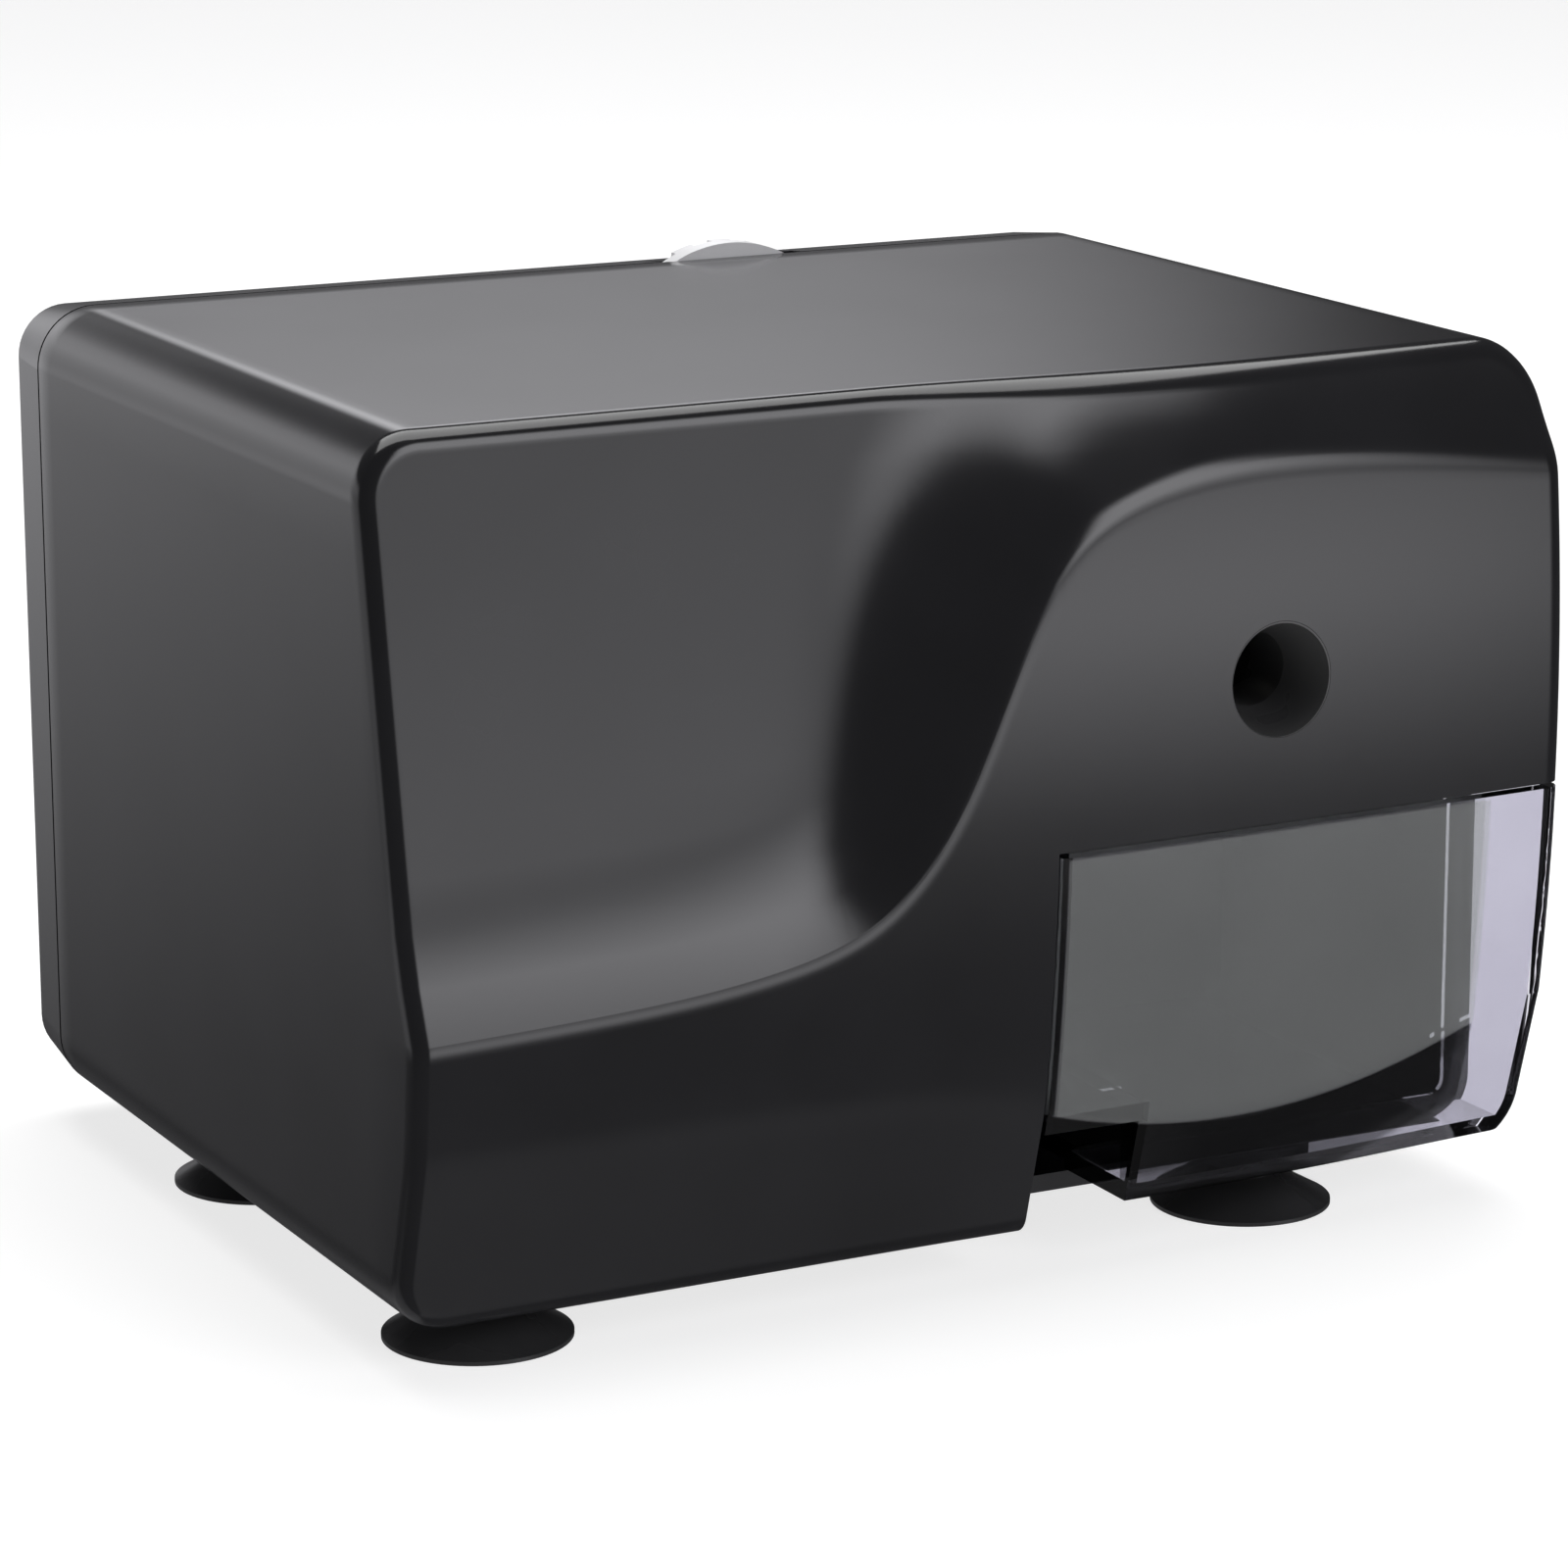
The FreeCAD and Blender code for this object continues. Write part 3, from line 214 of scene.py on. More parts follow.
# ------------------------------------------------------------ mesh building
class Sheets:
    """Collects quad sheets, then welds them into one mesh."""

    def __init__(self):
        self.points, self.faces = [], []

    def add(self, grid, keep=None, flip=False):
        """grid is rows by columns of points; keep(i, j) says which quads stay."""
        rows, columns = grid.shape[:2]
        start = len(self.points)
        self.points.extend(grid.reshape(-1, 3))
        for i in range(rows - 1):
            for j in range(columns - 1):
                if keep is None or keep(i, j):
                    a = start + i * columns + j
                    quad = (a, a + 1, a + columns + 1, a + columns)
                    self.faces.append(quad[::-1] if flip else quad)

    def build(self, name, weld=0.004):
        mesh = bpy.data.meshes.new(name)
        mesh.from_pydata([tuple(p * MM) for p in self.points], [], self.faces)
        work = bmesh.new()
        work.from_mesh(mesh)
        bmesh.ops.remove_doubles(work, verts=work.verts, dist=weld * MM)
        loose = [v for v in work.verts if not v.link_faces]
        bmesh.ops.delete(work, geom=loose, context="VERTS")
        bmesh.ops.dissolve_degenerate(work, edges=work.edges, dist=weld * MM)
        bmesh.ops.recalc_face_normals(work, faces=work.faces)
        front = min(work.faces, key=lambda face: face.calc_center_median().y)
        if front.normal.y > 0:
            bmesh.ops.reverse_faces(work, faces=work.faces)
        work.to_mesh(mesh)
        work.free()
        piece = bpy.data.objects.new(name, mesh)
        bpy.context.scene.collection.objects.link(piece)
        return piece


def apply_modifier(piece, kind, **settings):
    modifier = piece.modifiers.new(kind.title(), kind)
    for key, value in settings.items():
        setattr(modifier, key, value)
    with bpy.context.temp_override(object=piece, active_object=piece,
                                   selected_objects=[piece]):
        bpy.ops.object.modifier_apply(modifier=modifier.name)


def finish_shading(piece, angle=32.0):
    piece.data.shade_smooth()
    piece.data.set_sharp_from_angle(angle=math.radians(angle))


def steps(values, spacing):
    """Fill the gaps between fixed values with even steps no larger than spacing."""
    out = [values[0]]
    for low, high in zip(values, values[1:]):
        count = max(1, math.ceil((high - low) / spacing))
        out += [low + (high - low) * k / count for k in range(1, count + 1)]
    return np.array(out)


INNER_X = HALF - CORNER
INNER_LOW = BOTTOM + CORNER
INNER_HIGH = TOP - CORNER
# Mesh lines from the inner rectangle out to the rim, and round a corner.
RIM_TURN = np.radians(np.linspace(90, 0, 8))
RING = np.concatenate([[0, 1.6, 3.2, 4.6], CORNER - RIM * (1 - np.cos(RIM_TURN))])
CORNER_TURNS = np.radians(np.linspace(0, 90, 19))
MESH_STEP = 1.3
LOWER_STEP = 6.0
# Rows of mesh from the lower corner to the crease, the bay's top, the funnel square's
# bottom and top, the ridge and the upper corner.
ROW_COUNTS = (14, 30, 4, 22, 10, 10)
FIRST_UPPER_ROW = sum(ROW_COUNTS[:2])
# Square of mesh round the funnel.
SQUARE_LOW, SQUARE_HIGH = 53.0, 77.0
SQUARE_LEFT, SQUARE_RIGHT = 20.0, 44.0
FUNNEL_RINGS = 7


def case_levels(x):
    """Heights that the case's mesh rows pass through at x, from the bottom up."""
    crease, ridge = crease_z(x), ridge_z(x)
    crease_edge, ridge_edge = crease_z(BAY_LEFT), ridge_z(BAY_LEFT)
    marks = [INNER_LOW, crease]
    for height in (BAY_TOP, SQUARE_LOW, SQUARE_HIGH):
        share = (height - crease_edge) / (ridge_edge - crease_edge)
        if x <= BAY_LEFT:
            marks.append(crease + share * (ridge - crease))
        else:
            marks.append(height)
    marks += [ridge, INNER_HIGH]
    return marks


def case_rows(x):
    marks = case_levels(x)
    rows = [marks[0]]
    for (low, high), count in zip(zip(marks, marks[1:]), ROW_COUNTS):
        rows += [low + (high - low) * k / count for k in range(1, count + 1)]
    return np.array(rows)


def upper_rows(x):
    return case_rows(x)[FIRST_UPPER_ROW:]


# Lines along a side wall, from the rim to the seam. They are numbered by their place in
# side_lines, and the last two drop inward as the seam's small round.
PLATE_START, STEP_LINE, BAY_LINE, PLATE_END = 1, 2, 3, 7
SEAM_DROP = np.array([0.0] * 9 + [0.06, 0.25])
SEAM_GAP = 0.12
SEAM_STEPS = (0.3, 0.1, 0.0)     # how far the last lines stand ahead of the seam's gap
MIDDLE_LINES = (-18.0, 8.0, 28.0)
RIM_CLEAR = 0.4


def side_lines(rim_y):
    """Y places along a side wall whose rim starts at rim_y."""
    edge = SEAM - SEAM_GAP
    plate_start = max(rim_y + RIM_CLEAR, plate_low[1])
    return np.array([rim_y, plate_start, PLATE_STEP, BAY_FRONT, *MIDDLE_LINES,
                     plate_high[1], *(edge - ahead for ahead in SEAM_STEPS)])


def wall_sheet(path):
    """Side wall from the rim back to the seam along an outline path."""
    columns = []
    for x, z in path:
        rim_y = skin_y([x], [z])[0] + RIM
        inward = outline_inward(x, z)
        columns.append([(x + inward[0] * drop, y, z + inward[1] * drop)
                        for y, drop in zip(side_lines(rim_y), SEAM_DROP)])
    return np.array(columns)


def outline_inward(x, z):
    """Direction from a point on the case's outline to its inside."""
    cx = np.clip(x, -INNER_X, INNER_X)
    cz = np.clip(z, INNER_LOW, INNER_HIGH)
    out = np.array([x - cx, z - cz])
    return -out / max(np.hypot(*out), 1e-9)


def add_front(sheets, left_x, right_x):
    """Front inside the corners, with a round hole for the funnel."""
    sheets.add(front_columns(left_x, case_rows), flip=True)
    first = ROW_COUNTS[2]
    last = first + ROW_COUNTS[3]

    def outside_square(i, j):
        across = SQUARE_LEFT <= (right_x[i] + right_x[i + 1]) / 2 <= SQUARE_RIGHT
        return not (across and first <= j < last)

    sheets.add(front_columns(right_x, upper_rows), keep=outside_square, flip=True)
    square_x = [x for x in right_x if SQUARE_LEFT - 1e-6 <= x <= SQUARE_RIGHT + 1e-6]
    square_z = upper_rows(right_x[0])[first:last + 1]
    loop = [(x, square_z[0]) for x in square_x] + [(square_x[-1], z) for z in square_z[1:]]
    loop += [(x, square_z[-1]) for x in square_x[-2::-1]]
    loop += [(square_x[0], z) for z in square_z[-2::-1]]
    loop = np.array(loop)
    away = loop - AXIS
    circle = AXIS + FUNNEL_HOLE * away / np.hypot(*away.T)[:, None]
    shares = np.linspace(0, 1, FUNNEL_RINGS) ** 1.3
    rings = circle[None] + shares[:, None, None] * (loop - circle)[None]
    sheets.add(front_point(rings[..., 0], rings[..., 1]), flip=True)


def front_columns(places, rows):
    """One column of front points at each x, at the heights that rows(x) gives."""
    return np.array([front_point(np.full(len(rows(x)), x), rows(x)) for x in places])


def add_margins(sheets, left_x, right_x):
    """Strips between the inner rectangle and the outline, and the corners' fans."""
    sheets.add(front_columns(-INNER_X - RING, case_rows))
    sheets.add(front_columns(INNER_X + RING, upper_rows), flip=True)
    all_x = np.concatenate([left_x, right_x[1:]])
    sheets.add(np.array([front_point(all_x, np.full(len(all_x), INNER_HIGH + t))
                         for t in RING]))
    sheets.add(np.array([front_point(left_x, np.full(len(left_x), INNER_LOW - t))
                         for t in RING]), flip=True)
    for sx, cz, sz in ((-1, INNER_HIGH, 1), (1, INNER_HIGH, 1), (-1, INNER_LOW, -1)):
        fan = [front_point(sx * (INNER_X + t * np.cos(CORNER_TURNS)),
                           cz + sz * t * np.sin(CORNER_TURNS)) for t in RING]
        sheets.add(np.array(fan), flip=sx * sz > 0)


def wall_keep(points, first_line):
    """Says which quads of a wall stay: none ahead of first_line or over the base plate."""
    def keep(i, j):
        if j < first_line:
            return False
        x = (points[i][0] + points[i + 1][0]) / 2
        flat = points[i][1] == BOTTOM and points[i + 1][1] == BOTTOM
        opening_start = PLATE_START if x < PLATE_STEP_X else STEP_LINE
        return not (flat and opening_start <= j < PLATE_END)
    return keep


def add_walls(sheets, left_x, right_x):
    """Bottom, sides and top, from the rim to the seam; the drawer's side starts later."""
    arc = [(math.cos(a), math.sin(a)) for a in CORNER_TURNS]
    path = [(x, BOTTOM) for x in left_x[::-1]]
    path += [(-INNER_X - CORNER * s, INNER_LOW - CORNER * c) for c, s in arc[1:]]
    path += [(-HALF, z) for z in case_rows(-HALF)[1:]]
    path += [(-INNER_X - CORNER * c, INNER_HIGH + CORNER * s) for c, s in arc[1:]]
    path += [(x, TOP) for x in np.concatenate([left_x, right_x[1:]])[1:]]
    path += [(INNER_X + CORNER * s, INNER_HIGH + CORNER * c) for c, s in arc[1:]]
    path += [(HALF, z) for z in upper_rows(HALF)[::-1][1:]]
    drawer_path = [(HALF, z) for z in steps([INNER_LOW, BAY_TOP], LOWER_STEP)[::-1]]
    drawer_path += [(INNER_X + CORNER * c, INNER_LOW - CORNER * s) for c, s in arc[1:]]
    drawer_path += [(x, BOTTOM) for x in right_x[::-1][1:]]
    sheets.add(wall_sheet(path), keep=wall_keep(path, 0))
    sheets.add(wall_sheet(drawer_path), keep=wall_keep(drawer_path, BAY_LINE))


def build_housing():
    sheets = Sheets()
    left_x = steps([-INNER_X, PLATE_STEP_X, BAY_LEFT], MESH_STEP)
    right_x = steps([BAY_LEFT, SQUARE_LEFT, SQUARE_RIGHT, INNER_X], MESH_STEP)
    add_front(sheets, left_x, right_x)
    add_margins(sheets, left_x, right_x)
    add_walls(sheets, left_x, right_x)
    return sheets.build("housing_shell")


housing = build_housing()
apply_modifier(housing, "SOLIDIFY", thickness=SHELL_THICKNESS * MM, offset=-1,
               use_even_offset=True)
finish_shading(housing)
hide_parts("main_housing")
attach(housing, "case")


DRAWER_WALL = 1.8
# Placing of a dark sheet on the drawer's floor that stands in as painted shade.
SHADE_SHEET_LIFT = 0.08            # above the drawer's floor
SHADE_SHEET_THICKNESS = 0.4
SHADE_SHEET_BEVEL = 0.12
SHADE_SHEET_X = (18.0, 60.0)
SHADE_SHEET_Y = (-46.5, -38.6)


def build_painted_shade_sheet():
    """Dark sheet that lies on the drawer's floor behind its front, as painted shade in place of the
    shadow inside the drawer.
    """
    low_z = drawer_low[2] + DRAWER_WALL + SHADE_SHEET_LIFT
    high_z = low_z + SHADE_SHEET_THICKNESS
    sheets = Sheets()
    x_lines = steps(SHADE_SHEET_X, 3.0)
    y_lines = steps(SHADE_SHEET_Y, 2.0)
    rim = np.zeros((len(y_lines), len(x_lines)))
    rim[0, :] = rim[-1, :] = rim[:, 0] = rim[:, -1] = -SHADE_SHEET_BEVEL
    for z, sign in ((low_z, -1), (high_z, 1)):
        grid = np.array([[(x, y, z + sign * drop) for x, drop in zip(x_lines, row)]
                         for y, row in zip(y_lines, rim)])
        sheets.add(grid, flip=sign < 0)
    edge = [(x, y_lines[0]) for x in x_lines] + [(x_lines[-1], y) for y in y_lines[1:]]
    edge += [(x, y_lines[-1]) for x in x_lines[-2::-1]]
    edge += [(x_lines[0], y) for y in y_lines[-2::-1]]
    sheets.add(np.array([[(x, y, z) for x, y in edge]
                         for z in (low_z + SHADE_SHEET_BEVEL, high_z - SHADE_SHEET_BEVEL)]))
    return sheets.build("drawer_painted_shade_sheet")


# Dark sheet of painted shade, carried with the drawer.
painted_shade_sheet = build_painted_shade_sheet()
finish_shading(painted_shade_sheet)
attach(painted_shade_sheet, "drawer")


# ---------------------------------------------------------------- materials
PATCH_SCALE = 45.0
GRAIN_SCALE = 900.0
# Hazed pane in the drawer's front, in metres. Each edge fades between two places. Under the pane's
# curved lower edge, inside its other edges, the front gets painted shade.
PANE_LEFT = (0.0054, 0.0058)
PANE_RIGHT = (0.0600, 0.0605)
PANE_TOP = (0.0481, 0.0484)
PANE_FRONT = (-0.0504, -0.0500)
PANE_LOW = (0.0156, 0.0160)      # the lowest part of the curved lower edge
PANE_MIDDLE = 0.029
PANE_BOW = 6.5                   # how fast the lower edge rises away from PANE_MIDDLE


def node_material(name):
    material = bpy.data.materials.new(name)
    material.use_nodes = True
    tree = material.node_tree
    tree.nodes.clear()
    output = tree.nodes.new("ShaderNodeOutputMaterial")
    shader = tree.nodes.new("ShaderNodeBsdfPrincipled")
    tree.links.new(shader.outputs["BSDF"], output.inputs["Surface"])
    return material, tree, shader


def object_coordinates(tree):
    return tree.nodes.new("ShaderNodeTexCoord").outputs["Object"]


def noise(tree, coordinates, scale, detail=3.0, roughness=0.55):
    node = tree.nodes.new("ShaderNodeTexNoise")
    node.inputs["Scale"].default_value = scale
    node.inputs["Detail"].default_value = detail
    node.inputs["Roughness"].default_value = roughness
    tree.links.new(coordinates, node.inputs["Vector"])
    return node.outputs["Fac"]


def ranged(tree, value, low, high):
    """Map 0 to 1 onto low to high."""
    node = tree.nodes.new("ShaderNodeMapRange")
    node.inputs["To Min"].default_value = low
    node.inputs["To Max"].default_value = high
    tree.links.new(value, node.inputs["Value"])
    return node.outputs["Result"]


def ramp(tree, value, stops):
    """Colour ramp with the given (place, colour) stops."""
    node = tree.nodes.new("ShaderNodeValToRGB")
    node.color_ramp.elements[0].position = stops[0][0]
    node.color_ramp.elements[0].color = (*stops[0][1], 1)
    node.color_ramp.elements[1].position = stops[-1][0]
    node.color_ramp.elements[1].color = (*stops[-1][1], 1)
    for place, colour in stops[1:-1]:
        node.color_ramp.elements.new(place).color = (*colour, 1)
    tree.links.new(value, node.inputs["Fac"])
    return node.outputs["Color"]


def bump(tree, height, strength, distance):
    node = tree.nodes.new("ShaderNodeBump")
    node.inputs["Strength"].default_value = strength
    node.inputs["Distance"].default_value = distance
    tree.links.new(height, node.inputs["Height"])
    return node.outputs["Normal"]


def smooth_range(tree, value, low, high):
    """0 below low and 1 above high, with a smooth change between."""
    node = tree.nodes.new("ShaderNodeMapRange")
    node.interpolation_type = "SMOOTHSTEP"
    node.inputs["From Min"].default_value = low
    node.inputs["From Max"].default_value = high
    tree.links.new(value, node.inputs["Value"])
    return node.outputs["Result"]


def fading_range(tree, value, low, high):
    """1 below low and 0 above high, with a smooth change between."""
    return smooth_range(tree, calculate(tree, "MULTIPLY", value, -1.0), -high, -low)


def calculate(tree, operation, first, second):
    node = tree.nodes.new("ShaderNodeMath")
    node.operation = operation
    for socket, value in zip(node.inputs, (first, second)):
        if isinstance(value, float):
            socket.default_value = value
        else:
            tree.links.new(value, socket)
    return node.outputs["Value"]


def vector_step(tree, operation, first, second=None):
    node = tree.nodes.new("ShaderNodeVectorMath")
    node.operation = operation
    tree.links.new(first, node.inputs[0])
    if second is not None:
        node.inputs[1].default_value = second
    return node


def moulded(name, dark, light, rough, depth=0.00002, metallic=0.0):
    """Moulded plastic, rubber or plain metal: fine grain, soft patches of colour and gloss."""
    material, tree, shader = node_material(name)
    place = object_coordinates(tree)
    patches = noise(tree, place, PATCH_SCALE)
    grains = noise(tree, place, GRAIN_SCALE, 2.0)
    tree.links.new(ramp(tree, patches, [(0.3, dark), (0.7, light)]), shader.inputs["Base Color"])
    tree.links.new(ranged(tree, patches, *rough), shader.inputs["Roughness"])
    tree.links.new(bump(tree, grains, 0.25, depth), shader.inputs["Normal"])
    shader.inputs["Metallic"].default_value = metallic
    return material


def pane_masks(tree, place):
    """Two masks: the drawer's hazed pane, and the front below its curved lower edge, which gets
    painted shade.
    """
    split = tree.nodes.new("ShaderNodeSeparateXYZ")
    tree.links.new(place, split.inputs["Vector"])
    x, y, z = (split.outputs[axis] for axis in "XYZ")
    off_middle = calculate(tree, "SUBTRACT", x, PANE_MIDDLE)
    squared = calculate(tree, "MULTIPLY", off_middle, off_middle)
    bow = calculate(tree, "MULTIPLY", squared, PANE_BOW)
    upper = smooth_range(tree, calculate(tree, "SUBTRACT", z, bow), *PANE_LOW)
    front = fading_range(tree, y, *PANE_FRONT)
    for edge in (fading_range(tree, x, *PANE_RIGHT), smooth_range(tree, x, *PANE_LEFT),
                 fading_range(tree, z, *PANE_TOP)):
        front = calculate(tree, "MULTIPLY", front, edge)
    pane = calculate(tree, "MULTIPLY", front, upper)
    return pane, calculate(tree, "SUBTRACT", front, pane)


def mixed(tree, share, first, second):
    """The first colour where share is 0, the second where it is 1."""
    blend = tree.nodes.new("ShaderNodeMix")
    blend.data_type = "RGBA"
    tree.links.new(share, blend.inputs["Factor"])
    for name, colour in (("A", first), ("B", second)):
        socket = next(i for i in blend.inputs if i.name == name and i.type == "RGBA")
        tree.links.new(colour, socket)
    return next(o for o in blend.outputs if o.type == "RGBA")


def clear_plastic(name):
    """Smoke-tinted clear plastic of the drawer, hazed over its pane and coloured dark below it as
    painted shade, in place of the shadow inside the drawer.
    """
    material, tree, shader = node_material(name)
    place = object_coordinates(tree)
    flow = noise(tree, place, 60.0)
    pane, below = pane_masks(tree, place)
    tint = ramp(tree, flow, [(0.3, (0.69, 0.68, 0.75)), (0.7, (0.73, 0.72, 0.79))])
    smoke = ramp(tree, flow, [(0.3, (0.50, 0.515, 0.515)), (0.7, (0.55, 0.565, 0.565))])
    # Dark colour below the pane: painted shade.
    painted_shade = ramp(tree, flow, [(0.3, (0.10, 0.10, 0.11)), (0.7, (0.12, 0.12, 0.13))])
    colour = mixed(tree, below, mixed(tree, pane, tint, smoke), painted_shade)
    tree.links.new(colour, shader.inputs["Base Color"])
    tree.links.new(ranged(tree, flow, 0.01, 0.035), shader.inputs["Roughness"])
    tree.links.new(bump(tree, flow, 0.05, 0.0002), shader.inputs["Normal"])
    tree.links.new(ranged(tree, pane, 1.0, 0.83), shader.inputs["Transmission Weight"])
    shader.inputs["IOR"].default_value = 1.46
    return material


FINISHES = {
    "case_black": moulded("case_black", (0.011, 0.011, 0.012), (0.014, 0.014, 0.0155),
                          (0.12, 0.16), depth=0.000008),
    "guide_black": moulded("guide_black", (0.04, 0.04, 0.041), (0.055, 0.055, 0.056),
                           (0.24, 0.32)),
    "inner_black": moulded("inner_black", (0.010, 0.010, 0.011), (0.016, 0.016, 0.018),
                           (0.4, 0.5)),
    "bin_clear": clear_plastic("bin_clear"),
    "dial_grey": moulded("dial_grey", (0.78, 0.78, 0.79), (0.84, 0.84, 0.85), (0.3, 0.4)),
    "foot_rubber": moulded("foot_rubber", (0.026, 0.026, 0.027), (0.040, 0.040, 0.041),
                           (0.22, 0.32)),
    "frame_steel": moulded("frame_steel", (0.42, 0.43, 0.45), (0.55, 0.56, 0.58),
                           (0.3, 0.45), metallic=1.0),
    "cage_metal": moulded("cage_metal", (0.35, 0.35, 0.36), (0.5, 0.5, 0.52), (0.3, 0.5),
                          metallic=1.0),
    "cutter_steel": moulded("cutter_steel", (0.5, 0.5, 0.52), (0.68, 0.68, 0.7),
                            (0.18, 0.3), metallic=1.0),
    "gear_nylon": moulded("gear_nylon", (0.62, 0.60, 0.54), (0.72, 0.70, 0.64),
                          (0.4, 0.55)),
    "bush_bronze": moulded("bush_bronze", (0.45, 0.30, 0.14), (0.60, 0.42, 0.22),
                           (0.3, 0.45), metallic=1.0),
    "motor_plastic": moulded("motor_plastic", (0.05, 0.05, 0.055), (0.08, 0.08, 0.085),
                             (0.45, 0.6)),
    "magnet": moulded("magnet", (0.06, 0.06, 0.065), (0.1, 0.1, 0.105), (0.6, 0.75)),
    "copper": moulded("copper", (0.55, 0.22, 0.1), (0.75, 0.34, 0.17), (0.25, 0.4),
                      metallic=1.0),
    "board_green": moulded("board_green", (0.01, 0.09, 0.035), (0.015, 0.14, 0.05),
                           (0.3, 0.45)),
    "capacitor_blue": moulded("capacitor_blue", (0.02, 0.06, 0.2), (0.03, 0.09, 0.28),
                              (0.3, 0.4)),
    "switch_black": moulded("switch_black", (0.012, 0.012, 0.013), (0.02, 0.02, 0.021),
                            (0.4, 0.55)),
    "switch_red": moulded("switch_red", (0.4, 0.02, 0.02), (0.55, 0.04, 0.03), (0.35, 0.5)),
    "lead_red": moulded("lead_red", (0.35, 0.02, 0.02), (0.5, 0.04, 0.03), (0.45, 0.6)),
    "screw_steel": moulded("screw_steel", (0.16, 0.16, 0.17), (0.3, 0.3, 0.31),
                           (0.3, 0.45), metallic=1.0),
}


def dress(piece, material):
    piece.data.materials.clear()
    piece.data.materials.append(material)


for part in frame["record"]["subparts"]:
    dress(nodes[part["node"]], FINISHES[part["material_slot"]])
dress(housing, FINISHES["case_black"])
dress(painted_shade_sheet, FINISHES["inner_black"])


# ------------------------------------------------------- floor, light, camera
FLOOR_HALF = 2.2
AMBIENT = 0.05
RAMP_RANGE = 2.0
CAMERA_PLACE = (-0.2770, -0.5439, 0.1941)
CAMERA_TURNS = (27.082, 13.742, -0.098)      # yaw, pitch and roll in degrees
LENS = 126.4
SENSOR = 36.0


def build_floor():
    mesh = bpy.data.meshes.new("floor")
    corners = [(x * FLOOR_HALF, y * FLOOR_HALF, 0) for x, y in ((-1, -1), (1, -1), (1, 1), (-1, 1))]
    mesh.from_pydata(corners, [], [(0, 1, 2, 3)])
    floor = bpy.data.objects.new("floor", mesh)
    bpy.context.scene.collection.objects.link(floor)
    material, tree, shader = node_material("floor_white")
    place = object_coordinates(tree)
    patches = noise(tree, place, 3.0)
    tree.links.new(ramp(tree, patches, [(0.3, (0.40, 0.40, 0.40)), (0.7, (0.41, 0.41, 0.41))]),
                   shader.inputs["Base Color"])
    shader.inputs["Roughness"].default_value = 0.9
    shader.inputs["Specular IOR Level"].default_value = 0.1
    shader.inputs["Emission Color"].default_value = (1.0, 1.0, 1.0, 1)
    shader.inputs["Emission Strength"].default_value = 0.76
    dress(floor, material)
    floor.visible_glossy = False


def around(azimuth):
    """Level unit vector; azimuth runs from +Y towards +X in degrees."""
    turn = math.radians(azimuth)
    return math.sin(turn), math.cos(turn), 0.0


# Brightness up each soft box: sine of the elevation, value. A colour ramp holds no more
# than 1, so build_world divides the values by RAMP_RANGE in it and multiplies them after it.
LEFT_LEVELS = [(-1.0, 0.25), (-0.62, 0.20), (-0.46, 0.03), (-0.38, 0.03), (-0.28, 0.11),
               (-0.19, 0.46), (-0.12, 0.84), (0.0, 0.80), (0.10, 0.95), (0.20, 1.25),
               (0.30, 1.1), (0.40, 0.04), (1.0, 0.02)]
BACK_LEVELS = [(-1.0, 0.0), (0.0, 0.06), (0.12, 0.16), (0.20, 0.60), (0.27, 1.45),
               (0.36, 1.40), (0.46, 0.04), (1.0, 0.02)]
FRONT_LEVELS = [(-1.0, 0.10), (-0.62, 0.09), (-0.46, 0.02), (-0.38, 0.04), (-0.27, 0.19),
                (-0.19, 0.60), (-0.10, 1.04), (-0.04, 1.0), (0.04, 0.78), (0.14, 0.50),
                (0.24, 1.0), (0.38, 1.7), (0.66, 1.7), (0.76, 0.03), (1.0, 0.02)]
# Soft boxes: azimuth of the middle, cosines where the light starts and is full, strength,
# and its levels.
SOFT_BOXES = [
    (-40.0, 0.50, 0.82, 1.0, LEFT_LEVELS),
    (23.5, 0.983, 0.9998, 1.25, BACK_LEVELS),
    (154.0, 0.930, 0.990, 2.4, FRONT_LEVELS),
]


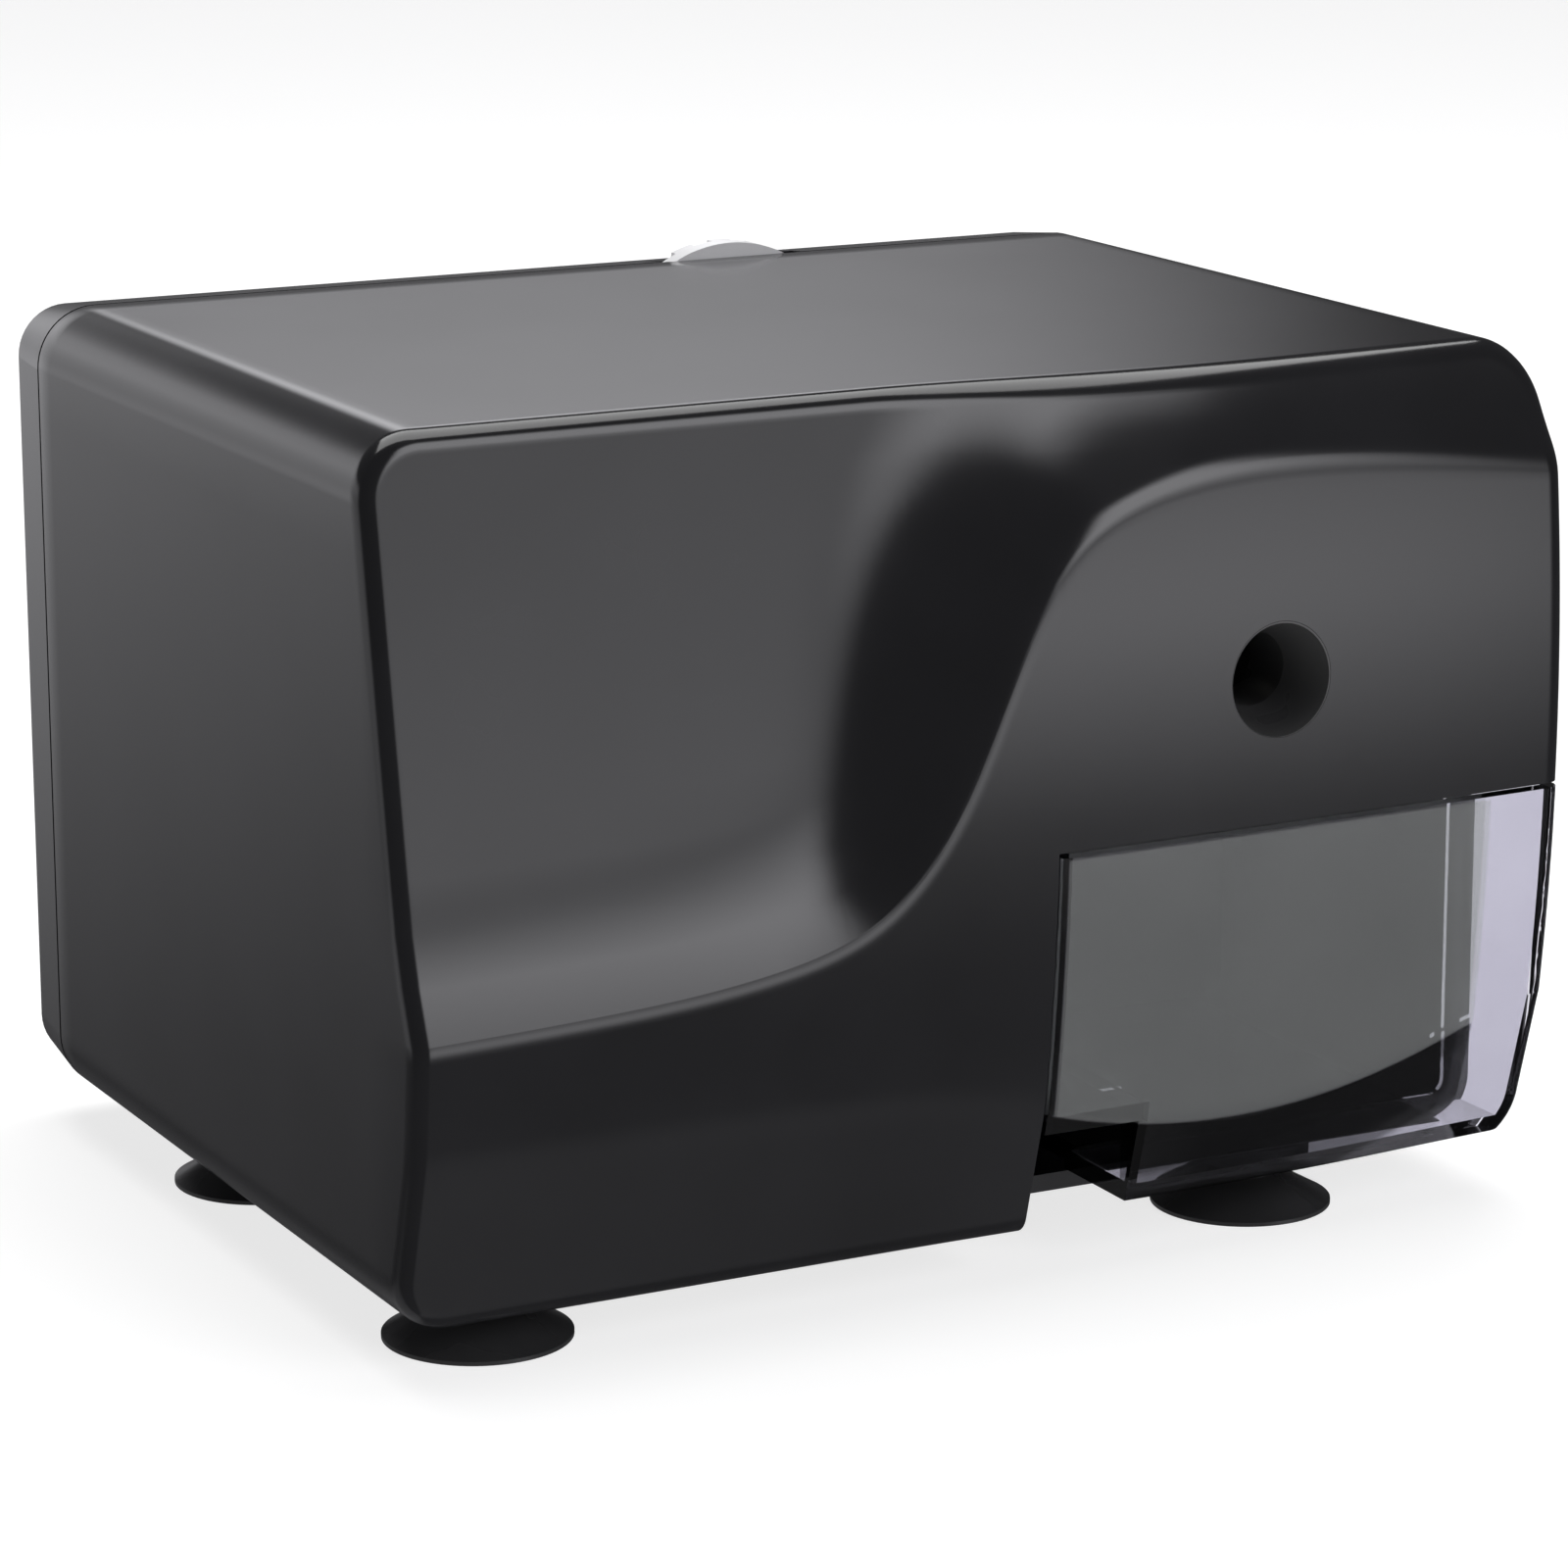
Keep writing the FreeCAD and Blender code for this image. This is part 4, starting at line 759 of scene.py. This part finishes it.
def build_world():
    """Dark studio with three soft boxes: back left, behind, and to the front right."""
    world = bpy.data.worlds.new("studio")
    world.use_nodes = True
    tree = world.node_tree
    tree.nodes.clear()
    output = tree.nodes.new("ShaderNodeOutputWorld")
    background = tree.nodes.new("ShaderNodeBackground")
    place = tree.nodes.new("ShaderNodeTexCoord").outputs["Generated"]
    split = tree.nodes.new("ShaderNodeSeparateXYZ")
    tree.links.new(place, split.inputs["Vector"])
    height = calculate(tree, "MULTIPLY_ADD", split.outputs["Z"], 0.5)
    height.node.inputs[2].default_value = 0.5
    level = vector_step(tree, "NORMALIZE",
                        vector_step(tree, "MULTIPLY", place, (1.0, 1.0, 0.0)).outputs[0])
    total = None
    for azimuth, start, full, strength, stops in SOFT_BOXES:
        stops = [((z + 1) / 2, (value / RAMP_RANGE,) * 3) for z, value in stops]
        facing = vector_step(tree, "DOT_PRODUCT", level.outputs[0], around(azimuth))
        share = smooth_range(tree, facing.outputs["Value"], start, full)
        share = calculate(tree, "MULTIPLY", share, RAMP_RANGE * strength)
        share = calculate(tree, "MULTIPLY", share, ramp(tree, height, stops))
        total = share if total is None else calculate(tree, "ADD", total, share)
    total = calculate(tree, "ADD", total, AMBIENT)
    background.inputs["Color"].default_value = (0.97, 0.965, 1.0, 1)
    tree.links.new(total, background.inputs["Strength"])
    tree.links.new(background.outputs["Background"], output.inputs["Surface"])
    bpy.context.scene.world = world


def area_light(name, place, target, size, power):
    light = bpy.data.lights.new(name, "AREA")
    light.shape = "RECTANGLE"
    light.size, light.size_y = size
    light.energy = power
    lamp = bpy.data.objects.new(name, light)
    lamp.location = place
    aim = Vector(target) - Vector(place)
    lamp.rotation_euler = aim.to_track_quat("-Z", "Y").to_euler()
    bpy.context.scene.collection.objects.link(lamp)


def build_camera():
    data = bpy.data.cameras.new("camera")
    data.lens = LENS
    data.sensor_width = SENSOR
    camera = bpy.data.objects.new("camera", data)
    camera.location = CAMERA_PLACE
    yaw, pitch, roll = map(math.radians, CAMERA_TURNS)
    forward = Vector((math.sin(yaw) * math.cos(pitch), math.cos(yaw) * math.cos(pitch),
                      -math.sin(pitch)))
    turn = forward.to_track_quat("-Z", "Y") @ Quaternion((0, 0, 1), roll)
    camera.rotation_euler = turn.to_euler()
    bpy.context.scene.collection.objects.link(camera)
    bpy.context.scene.camera = camera


build_floor()
build_world()
area_light("overhead", place=(0.1, 0.2, 0.9), target=(0, 0, 0.05), size=(0.9, 0.9), power=9.0)
build_camera()
bpy.context.scene.view_settings.view_transform = "Standard"
